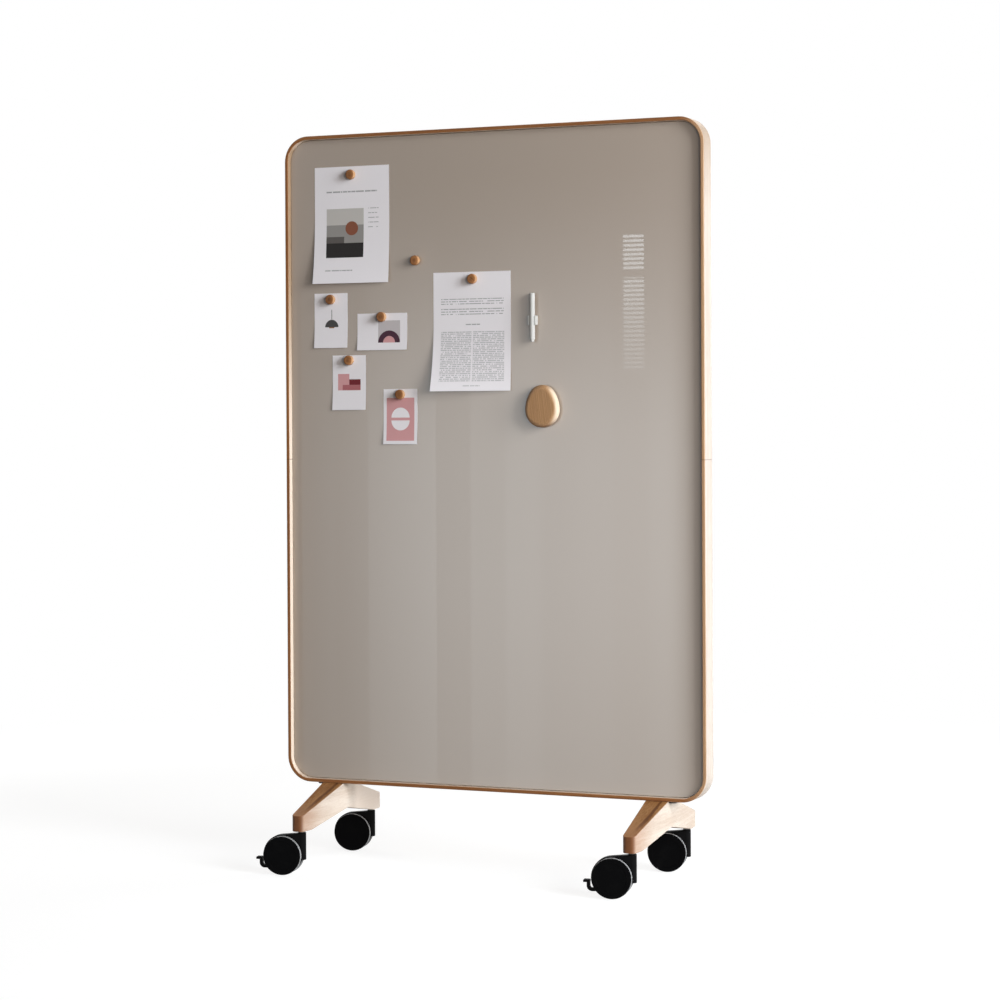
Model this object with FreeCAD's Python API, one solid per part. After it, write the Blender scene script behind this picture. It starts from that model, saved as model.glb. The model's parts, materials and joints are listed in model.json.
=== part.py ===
"""Mobile glass whiteboard: a bent-wood frame glazed on both faces, on two wooden feet with
twin-wheel casters, with wooden button magnets, a pebble eraser, a marker and pinned sheets.

Millimetres. +Z up, the front faces -Y, the origin is on the floor under the board's centre.
"""
import FreeCAD, Part
import math
import os

V = FreeCAD.Vector
X_AXIS = V(1, 0, 0)
Y_AXIS = V(0, 1, 0)
Z_AXIS = V(0, 0, 1)
SIDES = {"left": -1, "right": 1}
ENDS = {"front": -1, "rear": 1}

# Frame: a band of wood bent round the panel in two halves
BOARD_W = 1130.0
BOARD_H = 1650.0
FRAME_DEPTH = 55.0
FRAME_WALL = 9.5
CORNER_R = 64.0
FRAME_EDGE_R = 2.5
GROOVE_DEPTH = 4.5
DOWEL_D = 5.0
DOWEL_L = 44.0
DOWEL_EDGE = 10.0

# Panel: glass, steel sheet, core, steel sheet, glass
GLASS_RECESS = 15.0
GLASS_T = 4.0
GLASS_ARRIS = 0.8
STEEL_T = 0.8
PANEL_GAP = 0.6

# Clearances
TONGUE_FIT = 0.1
PEG_FIT = 0.1
RUN_FIT = 0.05
PRESS_FIT = 0.03
SIDE_PLAY = 0.4
LAID_GAP = 0.1

# Feet: solid wood, hexagonal in plan, arched below
FOOT_INSET = 127.5
FOOT_L = 448.0
FOOT_MID_W = 62.0
FOOT_END_W = 32.0
FOOT_NOSE_R = 13.0
FOOT_END_H = 39.0
FOOT_RISE = 57.0
FOOT_MID_H = 64.5
FOOT_FLAT_L = 46.0
FOOT_EDGE_R = 2.0
FOOT_PAD_L = 48.0
STEM_INSET = 28.0

# Steel plate let into the foot under the frame, its screws and the foot's bolts
PLATE_T = 4.0
PLATE_INNER = 26.0
PLATE_OUTER = 46.0
PLATE_DEPTH = 38.0
PLATE_CORNER_R = 6.0
SCREW_D = 4.5
SCREW_HEAD_D = 9.0
SCREW_L = 34.0
SCREW_STEPS = (-18.0, 17.0, 37.0)
BOLT_D = 8.0
BOLT_HEAD_D = 13.0
BOLT_HEAD_H = 8.0
BOLT_KEY = 6.0
BOLT_KEY_DEPTH = 4.5
BOLT_GRIP = 45.0
BOLT_SPACING = 24.0

# Caster stem: threaded insert in the foot, washer, chromed collar and pin
INSERT_D = 14.0
INSERT_L = 24.0
STEM_D = 10.0
STEM_THREAD_L = 21.0
STEM_PIN_L = 45.0
COLLAR_D = 17.0
COLLAR_T = 2.4
COLLAR_EDGE = 0.6
WASHER_D = 20.0
WASHER_T = 1.8

# Caster: a web between two wheels, hanging behind its stem housing
CASTER_H = 105.3
CASTER_TURN = 11.0
HOUSING_D = 21.0
HOUSING_BOTTOM = 37.3
HOUSING_EDGE = 1.0
WEB_T = 20.4
WEB_OVER = 2.5
WEB_EDGE_R = 2.0
WEB_END_ANGLE = 55.0
TRAIL = 47.0
AXLE_D = 8.0
AXLE_SEAT = 8.5
AXLE_END_GAP = 0.5

# Twin wheels: a hub with an outer flange and a soft tread band
WHEEL_D = 97.0
WHEEL_W = 12.5
WHEEL_GAP = 0.8
FLANGE_D = 95.0
FLANGE_T = 4.2
FLANGE_EDGE_R = 1.8
FACE_D = 74.0
FACE_DEPTH = 1.0
TREAD_T = 2.8
TREAD_SHOULDER_R = 1.2
HUB_BOSS_D = 22.0
HUB_HOLLOW = 5.0
HUB_RIM_T = 5.0

# Brake lever on the front casters
LEVER_T = 9.2
LEVER_H = 8.0
LEVER_BOSS_D = 12.0
LEVER_PIVOT_U = 14.0
LEVER_DROP = 29.5
LEVER_RISER_U = 58.0
LEVER_BEND_R = 9.0
LEVER_TAB_TOP = -6.0
LEVER_TAB_T = 6.0
LEVER_TAB_U = 70.0
LEVER_TAB_W = 18.0
LEVER_TAB_EDGE_R = 1.5
TRUNNION_D = 5.0
TRUNNION_REACH = 8.5
LEVER_SLOT_MARGIN = 2.0

# Wooden button magnets
BUTTON_D = 25.0
BUTTON_T = 14.0
BUTTON_EDGE_R = 3.0
BUTTON_BACK_R = 1.0
LOOSE_BUTTON = (363.3, 325.0)

# Eraser: a pebble of wood on a felt pad, with two magnets let into its back
ERASER_LEFT = 708.2
ERASER_DROP = 702.2
ERASER_LOW_R = 44.0
ERASER_TOP_R = 35.0
ERASER_RISE = 26.0
ERASER_T = 24.0
ERASER_FRONT_R = 12.0
ERASER_BACK_R = 3.0
FELT_T = 2.5
FELT_INSET = 4.0
ERASER_MAGNET_D = 16.0
ERASER_MAGNET_T = 4.0

# Marker in its magnetic clip
CLIP_LEFT = 683.0
CLIP_DROP = 482.0
CLIP_W = 20.5
CLIP_H = 24.0
CLIP_BASE_T = 4.2
CLIP_CORNER_R = 3.0
CLIP_EDGE_R = 1.0
CLIP_GRASP = 4.0
CLIP_PLAY = 0.3
CLIP_MAGNET_D = 14.0
CLIP_MAGNET_T = 1.5
MARKER_D = 13.4
MARKER_BELOW = 53.0
MARKER_BARREL_L = 85.0
MARKER_PLUG_D = 10.0
MARKER_PLUG_L = 6.0
MARKER_NECK_D = 10.0
MARKER_NECK_L = 14.0
MARKER_EDGE = 0.8
NIB_D = 4.4
NIB_L = 9.0
NIB_SET = 5.0
CAP_L = 35.0
CAP_WALL = 1.0
CAP_ROOM = 6.0

# Sheets under the buttons: left edge of the frame to the sheet's middle, top of the frame to its
# top edge, width, height, how far the lower left and lower right corners curl off the glass,
# and the button's offset from the middle of the top edge
PAPER_T = 0.3
CURL_SHARE = 0.6
A4_SHEETS = (
    (516.0, 357.5, 210.0, 297.0, 26.0, 4.0, 4.0, 18.0),
    (184.0, 80.5, 210.0, 297.0, 16.0, 8.0, 0.0, 21.5),
)
CARDS = (
    (123.5, 402.0, 94.0, 139.0, 4.0, 3.0, 1.5, 16.0),
    (268.0, 455.5, 139.0, 93.0, 4.0, 3.0, 1.0, 9.5),
    (174.5, 560.5, 94.0, 139.0, 4.0, 3.0, 2.0, 13.0),
    (318.0, 647.5, 94.0, 139.0, 4.0, 3.0, 2.0, 14.0),
)

# Levels and places that follow
WHEEL_R = WHEEL_D / 2
FOOT_BASE = CASTER_H + SIDE_PLAY + COLLAR_T + WASHER_T
FOOT_TOP = FOOT_BASE + FOOT_END_H + FOOT_RISE
FRAME_BASE = FOOT_TOP
PLATE_BASE = FRAME_BASE - PLATE_T
FRAME_TOP = FRAME_BASE + BOARD_H
FRAME_MID = FRAME_BASE + BOARD_H / 2
FRAME_LEFT = -BOARD_W / 2
FOOT_X = BOARD_W / 2 - FOOT_INSET
STEM_Y = FOOT_L / 2 - STEM_INSET
GLASS_FACE = -FRAME_DEPTH / 2 + GLASS_RECESS
CORE_T = FRAME_DEPTH - 2 * (GLASS_RECESS + GLASS_T + STEEL_T)
WHEEL_IN = WEB_T / 2 + WHEEL_GAP
WHEEL_OUT = WHEEL_IN + WHEEL_W
HUB_R = WHEEL_R - TREAD_T
SHEET_BACK = GLASS_FACE - LAID_GAP
SHEET_FRONT = SHEET_BACK - PAPER_T


def cylinder(diameter, length, base, axis=Z_AXIS):
    return Part.makeCylinder(diameter / 2, length, base, axis)


def block(low, high):
    size = high - low
    return Part.makeBox(size.x, size.y, size.z, low)


def edges_along(shape, axis):
    """Straight edges of a shape that run along one axis."""
    chosen = []
    for edge in shape.Edges:
        ends = [vertex.Point for vertex in edge.Vertexes]
        if len(ends) == 2 and (ends[1] - ends[0]).cross(axis).Length < 1e-6 * edge.Length:
            chosen.append(edge)
    return chosen


def edges_at(shape, axis, level):
    """Edges of a shape that lie in the plane square to an axis at one level."""
    chosen = []
    for edge in shape.Edges:
        box = edge.BoundBox
        low = V(box.XMin, box.YMin, box.ZMin).dot(axis)
        high = V(box.XMax, box.YMax, box.ZMax).dot(axis)
        if abs(low - level) < 1e-4 and abs(high - level) < 1e-4:
            chosen.append(edge)
    return chosen


def solid_of(points, thickness):
    """A prism on a closed polygon of points."""
    face = Part.Face(Part.makePolygon(points + points[:1]))
    return face.extrude(thickness)


def turned(points, base, axis):
    """A solid turned about an axis from the closed half section given by its points."""
    face = Part.Face(Part.makePolygon(points + points[:1]))
    return face.revolve(base, axis, 360)


def rounded_slab(width, height, radius, y_front, depth):
    """An upright slab centred on the board, with rounded corners."""
    low = V(-width / 2, y_front, FRAME_MID - height / 2)
    slab = Part.makeBox(width, depth, height, low)
    return slab.makeFillet(radius, edges_along(slab, Y_AXIS))


def inset_slab(inset, y_front, depth):
    """The board's outline drawn in by an inset on every side, as a slab."""
    return rounded_slab(BOARD_W - 2 * inset, BOARD_H - 2 * inset, CORNER_R - inset, y_front, depth)


def dowel_points():
    wall_mid = BOARD_W / 2 - FRAME_WALL / 2
    edge = FRAME_DEPTH / 2 - DOWEL_EDGE
    return [V(sx * wall_mid, sy * edge, FRAME_MID) for sx in (-1, 1) for sy in (-1, 1)]


def dowels(play):
    length = DOWEL_L + 2 * play
    rods = [cylinder(DOWEL_D + 2 * play, length, p - Z_AXIS * (length / 2)) for p in dowel_points()]
    return Part.makeCompound(rods)


def plate_screw_points(side):
    return [V(side * (FOOT_X + step), 0, PLATE_BASE) for step in SCREW_STEPS]


def screw(point, play):
    """A countersunk wood screw pointing up from the underside of the plate."""
    head_h = (SCREW_HEAD_D - SCREW_D) / 2
    r = SCREW_D / 2 + play
    head_r = SCREW_HEAD_D / 2 + play
    profile = [
        V(0, 0, 0),
        V(head_r, 0, 0),
        V(r, 0, head_h),
        V(r, 0, SCREW_L - SCREW_D),
        V(0, 0, SCREW_L + play),
    ]
    shape = turned(profile, V(0, 0, 0), Z_AXIS)
    shape.translate(point)
    return shape


def all_screws(play):
    points = [p for side in SIDES.values() for p in plate_screw_points(side)]
    return Part.makeCompound([screw(p, play) for p in points])


def frame_halves():
    """The bent band, grooved inside for the core and parted at half height."""
    front = -FRAME_DEPTH / 2
    band = inset_slab(0, front, FRAME_DEPTH).cut(inset_slab(FRAME_WALL, front, FRAME_DEPTH))
    rims = edges_at(band, Y_AXIS, front) + edges_at(band, Y_AXIS, -front)
    band = band.makeFillet(FRAME_EDGE_R, rims)
    groove_t = CORE_T + 2 * TONGUE_FIT
    band = band.cut(inset_slab(FRAME_WALL - GROOVE_DEPTH, -groove_t / 2, groove_t))
    band = band.cut(dowels(PEG_FIT)).cut(all_screws(PEG_FIT))
    reach = V(BOARD_W, FRAME_DEPTH, 0)
    upper = block(V(-BOARD_W, -FRAME_DEPTH, FRAME_MID), reach + Z_AXIS * (FRAME_TOP + FRAME_WALL))
    lower = block(V(-BOARD_W, -FRAME_DEPTH, 0), reach + Z_AXIS * FRAME_MID)
    return {"frame_upper": band.common(upper), "frame_lower": band.common(lower)}


def panel_parts():
    """Core, two steel sheets and two panes, from the middle outwards."""
    core = inset_slab(FRAME_WALL - GROOVE_DEPTH + TONGUE_FIT, -CORE_T / 2, CORE_T)
    sheet_inset = FRAME_WALL + PANEL_GAP
    steel = inset_slab(sheet_inset, -CORE_T / 2 - STEEL_T, STEEL_T)
    pane = inset_slab(sheet_inset, GLASS_FACE, GLASS_T)
    pane = pane.makeFillet(GLASS_ARRIS, edges_at(pane, Y_AXIS, GLASS_FACE))
    about = V(0, 0, 0)
    rear_steel = steel.copy().rotate(about, Z_AXIS, 180)
    rear_pane = pane.copy().rotate(about, Z_AXIS, 180)
    return {
        "core_panel": core.cut(all_screws(PEG_FIT)),
        "steel_sheets": Part.makeCompound([steel, rear_steel]),
        "glass_front": pane,
        "glass_rear": rear_pane,
    }


def bolt_points(side):
    seat = PLATE_BASE - BOLT_GRIP
    return [V(side * FOOT_X, end * BOLT_SPACING / 2, seat) for end in ENDS.values()]


def bolt(point):
    """A socket-head bolt that enters from below and ends level with the plate's top."""
    shank = cylinder(BOLT_D, BOLT_GRIP + PLATE_T, point)
    head = cylinder(BOLT_HEAD_D, BOLT_HEAD_H, point - Z_AXIS * BOLT_HEAD_H)
    corner = BOLT_KEY / math.sqrt(3)
    low = point - Z_AXIS * BOLT_HEAD_H
    turns = [math.radians(60 * k) for k in range(6)]
    corners = [low + V(corner * math.cos(t), corner * math.sin(t), 0) for t in turns]
    return shank.fuse(head).removeSplitter().cut(solid_of(corners, Z_AXIS * BOLT_KEY_DEPTH))


def plate_blank(side, play):
    """The plate's outline, grown all round by a clearance; one end reaches out past the foot."""
    ends = sorted([side * (FOOT_X - PLATE_INNER - play), side * (FOOT_X + PLATE_OUTER + play)])
    reach = PLATE_DEPTH / 2 + play
    blank = block(V(ends[0], -reach, PLATE_BASE), V(ends[1], reach, FRAME_BASE))
    return blank.makeFillet(PLATE_CORNER_R + play, edges_along(blank, Z_AXIS))


def stem_points(side):
    return [V(side * FOOT_X, end * STEM_Y, FOOT_BASE) for end in ENDS.values()]


def foot(side):
    """One foot: its side view cut by its plan, with rounded noses, eased edges and the plate's seat."""
    half_l = FOOT_L / 2
    pad = half_l - FOOT_PAD_L
    flat = FOOT_FLAT_L / 2
    end_top = FOOT_BASE + FOOT_END_H
    arch = FOOT_TOP - FOOT_MID_H
    half = [(flat, FOOT_TOP), (half_l, end_top), (half_l, FOOT_BASE), (pad, FOOT_BASE)]
    outline = half + [(0, arch)] + [(-y, z) for y, z in reversed(half)]
    elevation = solid_of([V(-FOOT_MID_W, y, z) for y, z in outline], X_AXIS * 2 * FOOT_MID_W)
    mid = FOOT_MID_W / 2
    tip = FOOT_END_W / 2
    corners = [(mid, 0), (tip, half_l), (-tip, half_l), (-mid, 0), (-tip, -half_l), (tip, -half_l)]
    plan = solid_of([V(x, y, 0) for x, y in corners], Z_AXIS * FRAME_TOP)
    noses = [e for e in edges_along(plan, Z_AXIS) if abs(e.Vertexes[0].Y) > half_l / 2]
    plan = plan.makeFillet(FOOT_NOSE_R, noses)
    shape = elevation.common(plan)
    shape = shape.makeFillet(FOOT_EDGE_R, shape.Edges)
    shape.translate(V(side * FOOT_X, 0, 0))
    shape = shape.cut(plate_blank(side, PEG_FIT))
    for point in bolt_points(side):
        shape = shape.cut(cylinder(BOLT_D + 2 * PEG_FIT, BOLT_GRIP, point))
        well_h = point.z - FOOT_BASE
        shape = shape.cut(cylinder(BOLT_HEAD_D + 2 * SIDE_PLAY, well_h, point - Z_AXIS * well_h))
    for point in stem_points(side):
        shape = shape.cut(cylinder(INSERT_D + 2 * PEG_FIT, INSERT_L + PEG_FIT, point))
    return shape


def foot_plate(side):
    """The steel plate in the foot's seat, bored for the bolts and countersunk for the screws."""
    plate = plate_blank(side, 0)
    for point in bolt_points(side):
        plate = plate.cut(cylinder(BOLT_D + 2 * PEG_FIT, FRAME_BASE, V(point.x, point.y, 0)))
    for point in plate_screw_points(side):
        plate = plate.cut(screw(point, PEG_FIT))
    return plate


def foot_parts():
    parts = {}
    for name, side in SIDES.items():
        parts["foot_" + name] = foot(side)
        parts["foot_plate_" + name] = foot_plate(side)
    bolts = [bolt(p) for side in SIDES.values() for p in bolt_points(side)]
    parts["foot_bolts"] = Part.makeCompound(bolts)
    parts["plate_screws"] = all_screws(0)
    return parts


def insert(point):
    tube = cylinder(INSERT_D, INSERT_L, point)
    return tube.cut(cylinder(STEM_D + 2 * PEG_FIT, INSERT_L, point))


def washer(point):
    ring = cylinder(WASHER_D, WASHER_T, point - Z_AXIS * WASHER_T)
    ring = ring.makeChamfer(COLLAR_EDGE, edges_at(ring, Z_AXIS, point.z - WASHER_T))
    return ring.cut(cylinder(STEM_D + 2 * PEG_FIT, WASHER_T, point - Z_AXIS * WASHER_T))


def stem(point):
    """Threaded end in the foot, collar under the washer and pin down into the housing."""
    r = STEM_D / 2
    collar = COLLAR_D / 2
    collar_top = -WASHER_T
    collar_low = collar_top - COLLAR_T
    pin_end = collar_low - SIDE_PLAY - STEM_PIN_L
    profile = [
        V(0, 0, pin_end),
        V(r - COLLAR_EDGE, 0, pin_end),
        V(r, 0, pin_end + COLLAR_EDGE),
        V(r, 0, collar_low),
        V(collar - COLLAR_EDGE, 0, collar_low),
        V(collar, 0, collar_low + COLLAR_EDGE),
        V(collar, 0, collar_top - COLLAR_EDGE),
        V(collar - COLLAR_EDGE, 0, collar_top),
        V(r, 0, collar_top),
        V(r, 0, STEM_THREAD_L - COLLAR_EDGE),
        V(r - COLLAR_EDGE, 0, STEM_THREAD_L),
        V(0, 0, STEM_THREAD_L),
    ]
    shape = turned(profile, V(0, 0, 0), Z_AXIS)
    shape.translate(point)
    return shape


def stem_parts():
    points = [p for side in SIDES.values() for p in stem_points(side)]
    return {
        "stem_inserts": Part.makeCompound([insert(p) for p in points]),
        "caster_washers": Part.makeCompound([washer(p) for p in points]),
        "caster_stems": Part.makeCompound([stem(p) for p in points]),
    }


def behind(u, level, y=0.0):
    """A point of a caster, u behind the wheel's axle and so far above it."""
    return V(-TRAIL - u, y, WHEEL_R + level)


def caster_web():
    """The flat body between the wheels: tangent from the housing's top, then round the axle."""
    radius = WHEEL_R + WEB_OVER
    top = V(0, 0, CASTER_H - HOUSING_EDGE)
    to_axle = behind(0, 0) - top
    reach = math.sqrt(to_axle.Length ** 2 - radius ** 2)
    slope = math.atan2(to_axle.z, -to_axle.x) + math.asin(radius / to_axle.Length)
    tangent = top + V(-math.cos(slope), 0, math.sin(slope)) * reach
    first = math.degrees(slope) + 90

    def rim(angle):
        a = math.radians(angle)
        return behind(radius * math.cos(a), radius * math.sin(a))

    last = rim(-WEB_END_ANGLE)
    middle = rim((first - WEB_END_ANGLE) / 2)
    foot_end = V(0, 0, HOUSING_BOTTOM)
    outline = Part.Wire([
        Part.makeLine(top, tangent),
        Part.Arc(tangent, middle, last).toShape(),
        Part.makeLine(last, foot_end),
        Part.makeLine(foot_end, top),
    ])
    web = Part.Face(outline).extrude(Y_AXIS * WEB_T)
    web.translate(Y_AXIS * (-WEB_T / 2))
    rims = []
    for face_y in (-WEB_T / 2, WEB_T / 2):
        for edge in edges_at(web, Y_AXIS, face_y):
            if edge.BoundBox.XMin < -TRAIL:
                rims.append(edge)
    return web.makeFillet(WEB_EDGE_R, rims)


def lever_slot():
    """The room that the brake lever swings in, open behind and below."""
    half = LEVER_T / 2 + SIDE_PLAY
    front = LEVER_PIVOT_U - LEVER_BOSS_D / 2 - LEVER_SLOT_MARGIN
    top = -LEVER_DROP + LEVER_BOSS_D / 2 + LEVER_SLOT_MARGIN
    low = behind(LEVER_TAB_U, -WHEEL_R, -half)
    return block(low, behind(front, top, half))


def caster_body(braked):
    """Stem housing and web in one moulding."""
    housing = cylinder(HOUSING_D, CASTER_H - HOUSING_BOTTOM, V(0, 0, HOUSING_BOTTOM))
    ends = edges_at(housing, Z_AXIS, CASTER_H) + edges_at(housing, Z_AXIS, HOUSING_BOTTOM)
    housing = housing.makeChamfer(HOUSING_EDGE, ends)
    body = housing.fuse(caster_web()).removeSplitter()
    bore_l = STEM_PIN_L + SIDE_PLAY
    body = body.cut(cylinder(STEM_D + 2 * RUN_FIT, bore_l, V(0, 0, CASTER_H - bore_l)))
    body = body.cut(cylinder(AXLE_D + 2 * PRESS_FIT, WEB_T, behind(0, 0, -WEB_T / 2), Y_AXIS))
    if not braked:
        return body
    reach = TRUNNION_REACH + SIDE_PLAY
    pivot = behind(LEVER_PIVOT_U, -LEVER_DROP, -reach)
    body = body.cut(lever_slot())
    return body.cut(cylinder(TRUNNION_D + 2 * RUN_FIT, 2 * reach, pivot, Y_AXIS))


def axle():
    reach = WHEEL_IN + AXLE_SEAT - AXLE_END_GAP
    return cylinder(AXLE_D, 2 * reach, behind(0, 0, -reach), Y_AXIS)


def wheel_hub():
    """The front hub: flange and sunk face outside, boss and hollow inside, blind axle bore."""
    bore = AXLE_D / 2 + RUN_FIT
    boss = HUB_BOSS_D / 2
    rim_in = HUB_R - HUB_RIM_T
    flange = FLANGE_D / 2
    face = FACE_D / 2
    step = WHEEL_OUT - FLANGE_T
    section = [
        (0, WHEEL_IN + AXLE_SEAT),
        (bore, WHEEL_IN + AXLE_SEAT),
        (bore, WHEEL_IN),
        (boss, WHEEL_IN),
        (boss, WHEEL_IN + HUB_HOLLOW),
        (rim_in, WHEEL_IN + HUB_HOLLOW),
        (rim_in, WHEEL_IN),
        (HUB_R, WHEEL_IN),
        (HUB_R, step),
        (flange, step),
        (flange, WHEEL_OUT),
        (face, WHEEL_OUT),
        (face - FACE_DEPTH, WHEEL_OUT - FACE_DEPTH),
        (0, WHEEL_OUT - FACE_DEPTH),
    ]
    hub = turned([behind(r, 0, -w) for r, w in section], behind(0, 0), Y_AXIS)
    outer = [e for e in edges_at(hub, Y_AXIS, -WHEEL_OUT) if e.BoundBox.XLength > FACE_D + FACE_DEPTH]
    return hub.makeFillet(FLANGE_EDGE_R, outer)


def wheel_tread():
    inner = HUB_R + PRESS_FIT
    step = WHEEL_OUT - FLANGE_T - PRESS_FIT
    section = [(inner, WHEEL_IN), (WHEEL_R, WHEEL_IN), (WHEEL_R, step), (inner, step)]
    band = turned([behind(r, 0, -w) for r, w in section], behind(0, 0), Y_AXIS)
    shoulders = [e for e in band.Edges if e.BoundBox.XLength > WHEEL_D - TREAD_SHOULDER_R]
    return band.makeFillet(TREAD_SHOULDER_R, shoulders)


def brake_lever():
    """Arm between the wheels, bent up behind them into a tab for the toe."""
    half_h = LEVER_H / 2
    bend_u = LEVER_RISER_U - LEVER_BEND_R
    bend_mid = -LEVER_DROP + LEVER_BEND_R
    tab_low = LEVER_TAB_TOP - LEVER_TAB_T

    def bend(radius):
        points = []
        for angle in (-90, -45, 0):
            a = math.radians(angle)
            points.append(behind(bend_u + radius * math.cos(a), bend_mid + radius * math.sin(a)))
        return points

    outer = bend(LEVER_BEND_R + half_h)
    inner = bend(LEVER_BEND_R - half_h)
    inner.reverse()
    root_low = behind(LEVER_PIVOT_U, -LEVER_DROP - half_h)
    root_top = behind(LEVER_PIVOT_U, -LEVER_DROP + half_h)
    riser_out = behind(LEVER_RISER_U + half_h, tab_low)
    riser_in = behind(LEVER_RISER_U - half_h, LEVER_TAB_TOP)
    riser_top = behind(LEVER_RISER_U + half_h, LEVER_TAB_TOP)
    outline = Part.Wire([
        Part.makeLine(root_low, outer[0]),
        Part.Arc(*outer).toShape(),
        Part.makeLine(outer[2], riser_out),
        Part.makeLine(riser_out, riser_top),
        Part.makeLine(riser_top, riser_in),
        Part.makeLine(riser_in, inner[0]),
        Part.Arc(*inner).toShape(),
        Part.makeLine(inner[2], root_top),
        Part.makeLine(root_top, root_low),
    ])
    arm = Part.Face(outline).extrude(Y_AXIS * LEVER_T)
    arm.translate(Y_AXIS * (-LEVER_T / 2))
    half_w = LEVER_TAB_W / 2
    tab_in = LEVER_RISER_U - half_h
    tab = block(behind(LEVER_TAB_U, tab_low, -half_w), behind(tab_in, LEVER_TAB_TOP, half_w))
    tab = tab.makeFillet(LEVER_TAB_EDGE_R, tab.Edges)
    pivot = behind(LEVER_PIVOT_U, -LEVER_DROP)
    boss = cylinder(LEVER_BOSS_D, LEVER_T, pivot - Y_AXIS * (LEVER_T / 2), Y_AXIS)
    pins = cylinder(TRUNNION_D, 2 * TRUNNION_REACH, pivot - Y_AXIS * TRUNNION_REACH, Y_AXIS)
    return arm.fuse([tab, boss, pins]).removeSplitter()


def caster_parts():
    """Four casters, all trailing the same way; the front two have brakes."""
    back_turn = (behind(0, 0), Z_AXIS, 180)
    hub = wheel_hub()
    tread = wheel_tread()
    shapes = {
        "caster_axle": axle(),
        "wheel_hub_a": hub,
        "wheel_tread_a": tread,
        "wheel_hub_b": hub.copy().rotate(*back_turn),
        "wheel_tread_b": tread.copy().rotate(*back_turn),
    }
    parts = {}
    for end_name, end in ENDS.items():
        braked = end_name == "front"
        here = dict(shapes, caster_body=caster_body(braked))
        if braked:
            here["brake_lever"] = brake_lever()
        for side_name, side in SIDES.items():
            place = V(side * FOOT_X, end * STEM_Y, 0)
            for name, shape in here.items():
                piece = shape.copy().rotate(V(0, 0, 0), Z_AXIS, CASTER_TURN)
                piece.translate(place)
                parts["%s_%s_%s" % (name, end_name, side_name)] = piece
    return parts


def on_board(left, drop, y=0.0):
    """A point so far from the frame's left side and down from its top."""
    return V(FRAME_LEFT + left, y, FRAME_TOP - drop)


def button(left, drop, back):
    """A turned wooden button that stands off the board from its back plane."""
    disc = cylinder(BUTTON_D, BUTTON_T, on_board(left, drop, back), -Y_AXIS)
    disc = disc.makeFillet(BUTTON_EDGE_R, edges_at(disc, Y_AXIS, back - BUTTON_T))
    return disc.makeFillet(BUTTON_BACK_R, edges_at(disc, Y_AXIS, back))


def sheet(left, drop, width, height, curl_left, curl_right):
    """A hung sheet: flat below its top edge, with lower corners that curl off the glass."""
    flat = height * (1 - CURL_SHARE)

    def side_profile(x, curl):
        top = on_board(left + x, drop, SHEET_BACK)
        start = top - Z_AXIS * flat
        run = height - flat
        radius = (run ** 2 + curl ** 2) / (2 * curl)
        half = math.asin(run / radius) / 2
        rise = radius * (1 - math.cos(half))
        back = [top, start, start - V(0, rise, radius * math.sin(half)), start - V(0, curl, run)]
        front = [p - Y_AXIS * PAPER_T for p in back]
        return Part.Wire([
            Part.makeLine(back[0], back[1]),
            Part.Arc(back[1], back[2], back[3]).toShape(),
            Part.makeLine(back[3], front[3]),
            Part.Arc(front[3], front[2], front[1]).toShape(),
            Part.makeLine(front[1], front[0]),
            Part.makeLine(front[0], back[0]),
        ])

    profiles = [side_profile(-width / 2, curl_left), side_profile(width / 2, curl_right)]
    return Part.makeLoft(profiles, True, True)


def sheet_parts():
    """The sheets, and the button that pins each one."""
    parts = {}
    number = 0
    for group, rows in (("paper_sheets", A4_SHEETS), ("paper_cards", CARDS)):
        parts[group] = Part.makeCompound([sheet(*row[:6]) for row in rows])
        for left, drop, width, height, curl_left, curl_right, aside, below in rows:
            number += 1
            back = SHEET_FRONT - LAID_GAP
            parts["button_magnet_%d" % number] = button(left + aside, drop + below, back)
    parts["button_magnet_%d" % (number + 1)] = button(*LOOSE_BUTTON, SHEET_BACK)
    return parts


def pebble(inset, y_front, depth):
    """The eraser's outline, egg-shaped and narrower at the top, as a slab."""
    low_r = ERASER_LOW_R - inset
    top_r = ERASER_TOP_R - inset
    taper = ERASER_LOW_R - ERASER_TOP_R
    aside = (ERASER_RISE ** 2 - taper ** 2) / (2 * taper)
    side_r = ERASER_LOW_R + aside - inset
    lean = math.atan2(ERASER_RISE, aside)
    centre = on_board(ERASER_LEFT, ERASER_DROP, y_front)
    top = centre + Z_AXIS * ERASER_RISE

    def on_side(hand, angle):
        spot = V(side_r * math.cos(angle) - aside, 0, side_r * math.sin(angle))
        return centre + V(hand * spot.x, 0, spot.z)

    right = [on_side(1, a) for a in (0, lean / 2, lean)]
    left = [on_side(-1, a) for a in (lean, lean / 2, 0)]
    low = [centre + V(low_r * math.sin(math.radians(a)), 0, -low_r * math.cos(math.radians(a)))
           for a in (-90, -45, 0, 45, 90)]
    outline = Part.Wire([
        Part.Arc(*right).toShape(),
        Part.Arc(right[2], top + Z_AXIS * top_r, left[0]).toShape(),
        Part.Arc(*left).toShape(),
        Part.Arc(*low[:3]).toShape(),
        Part.Arc(*low[2:]).toShape(),
    ])
    return Part.Face(outline).extrude(Y_AXIS * depth)


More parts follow.
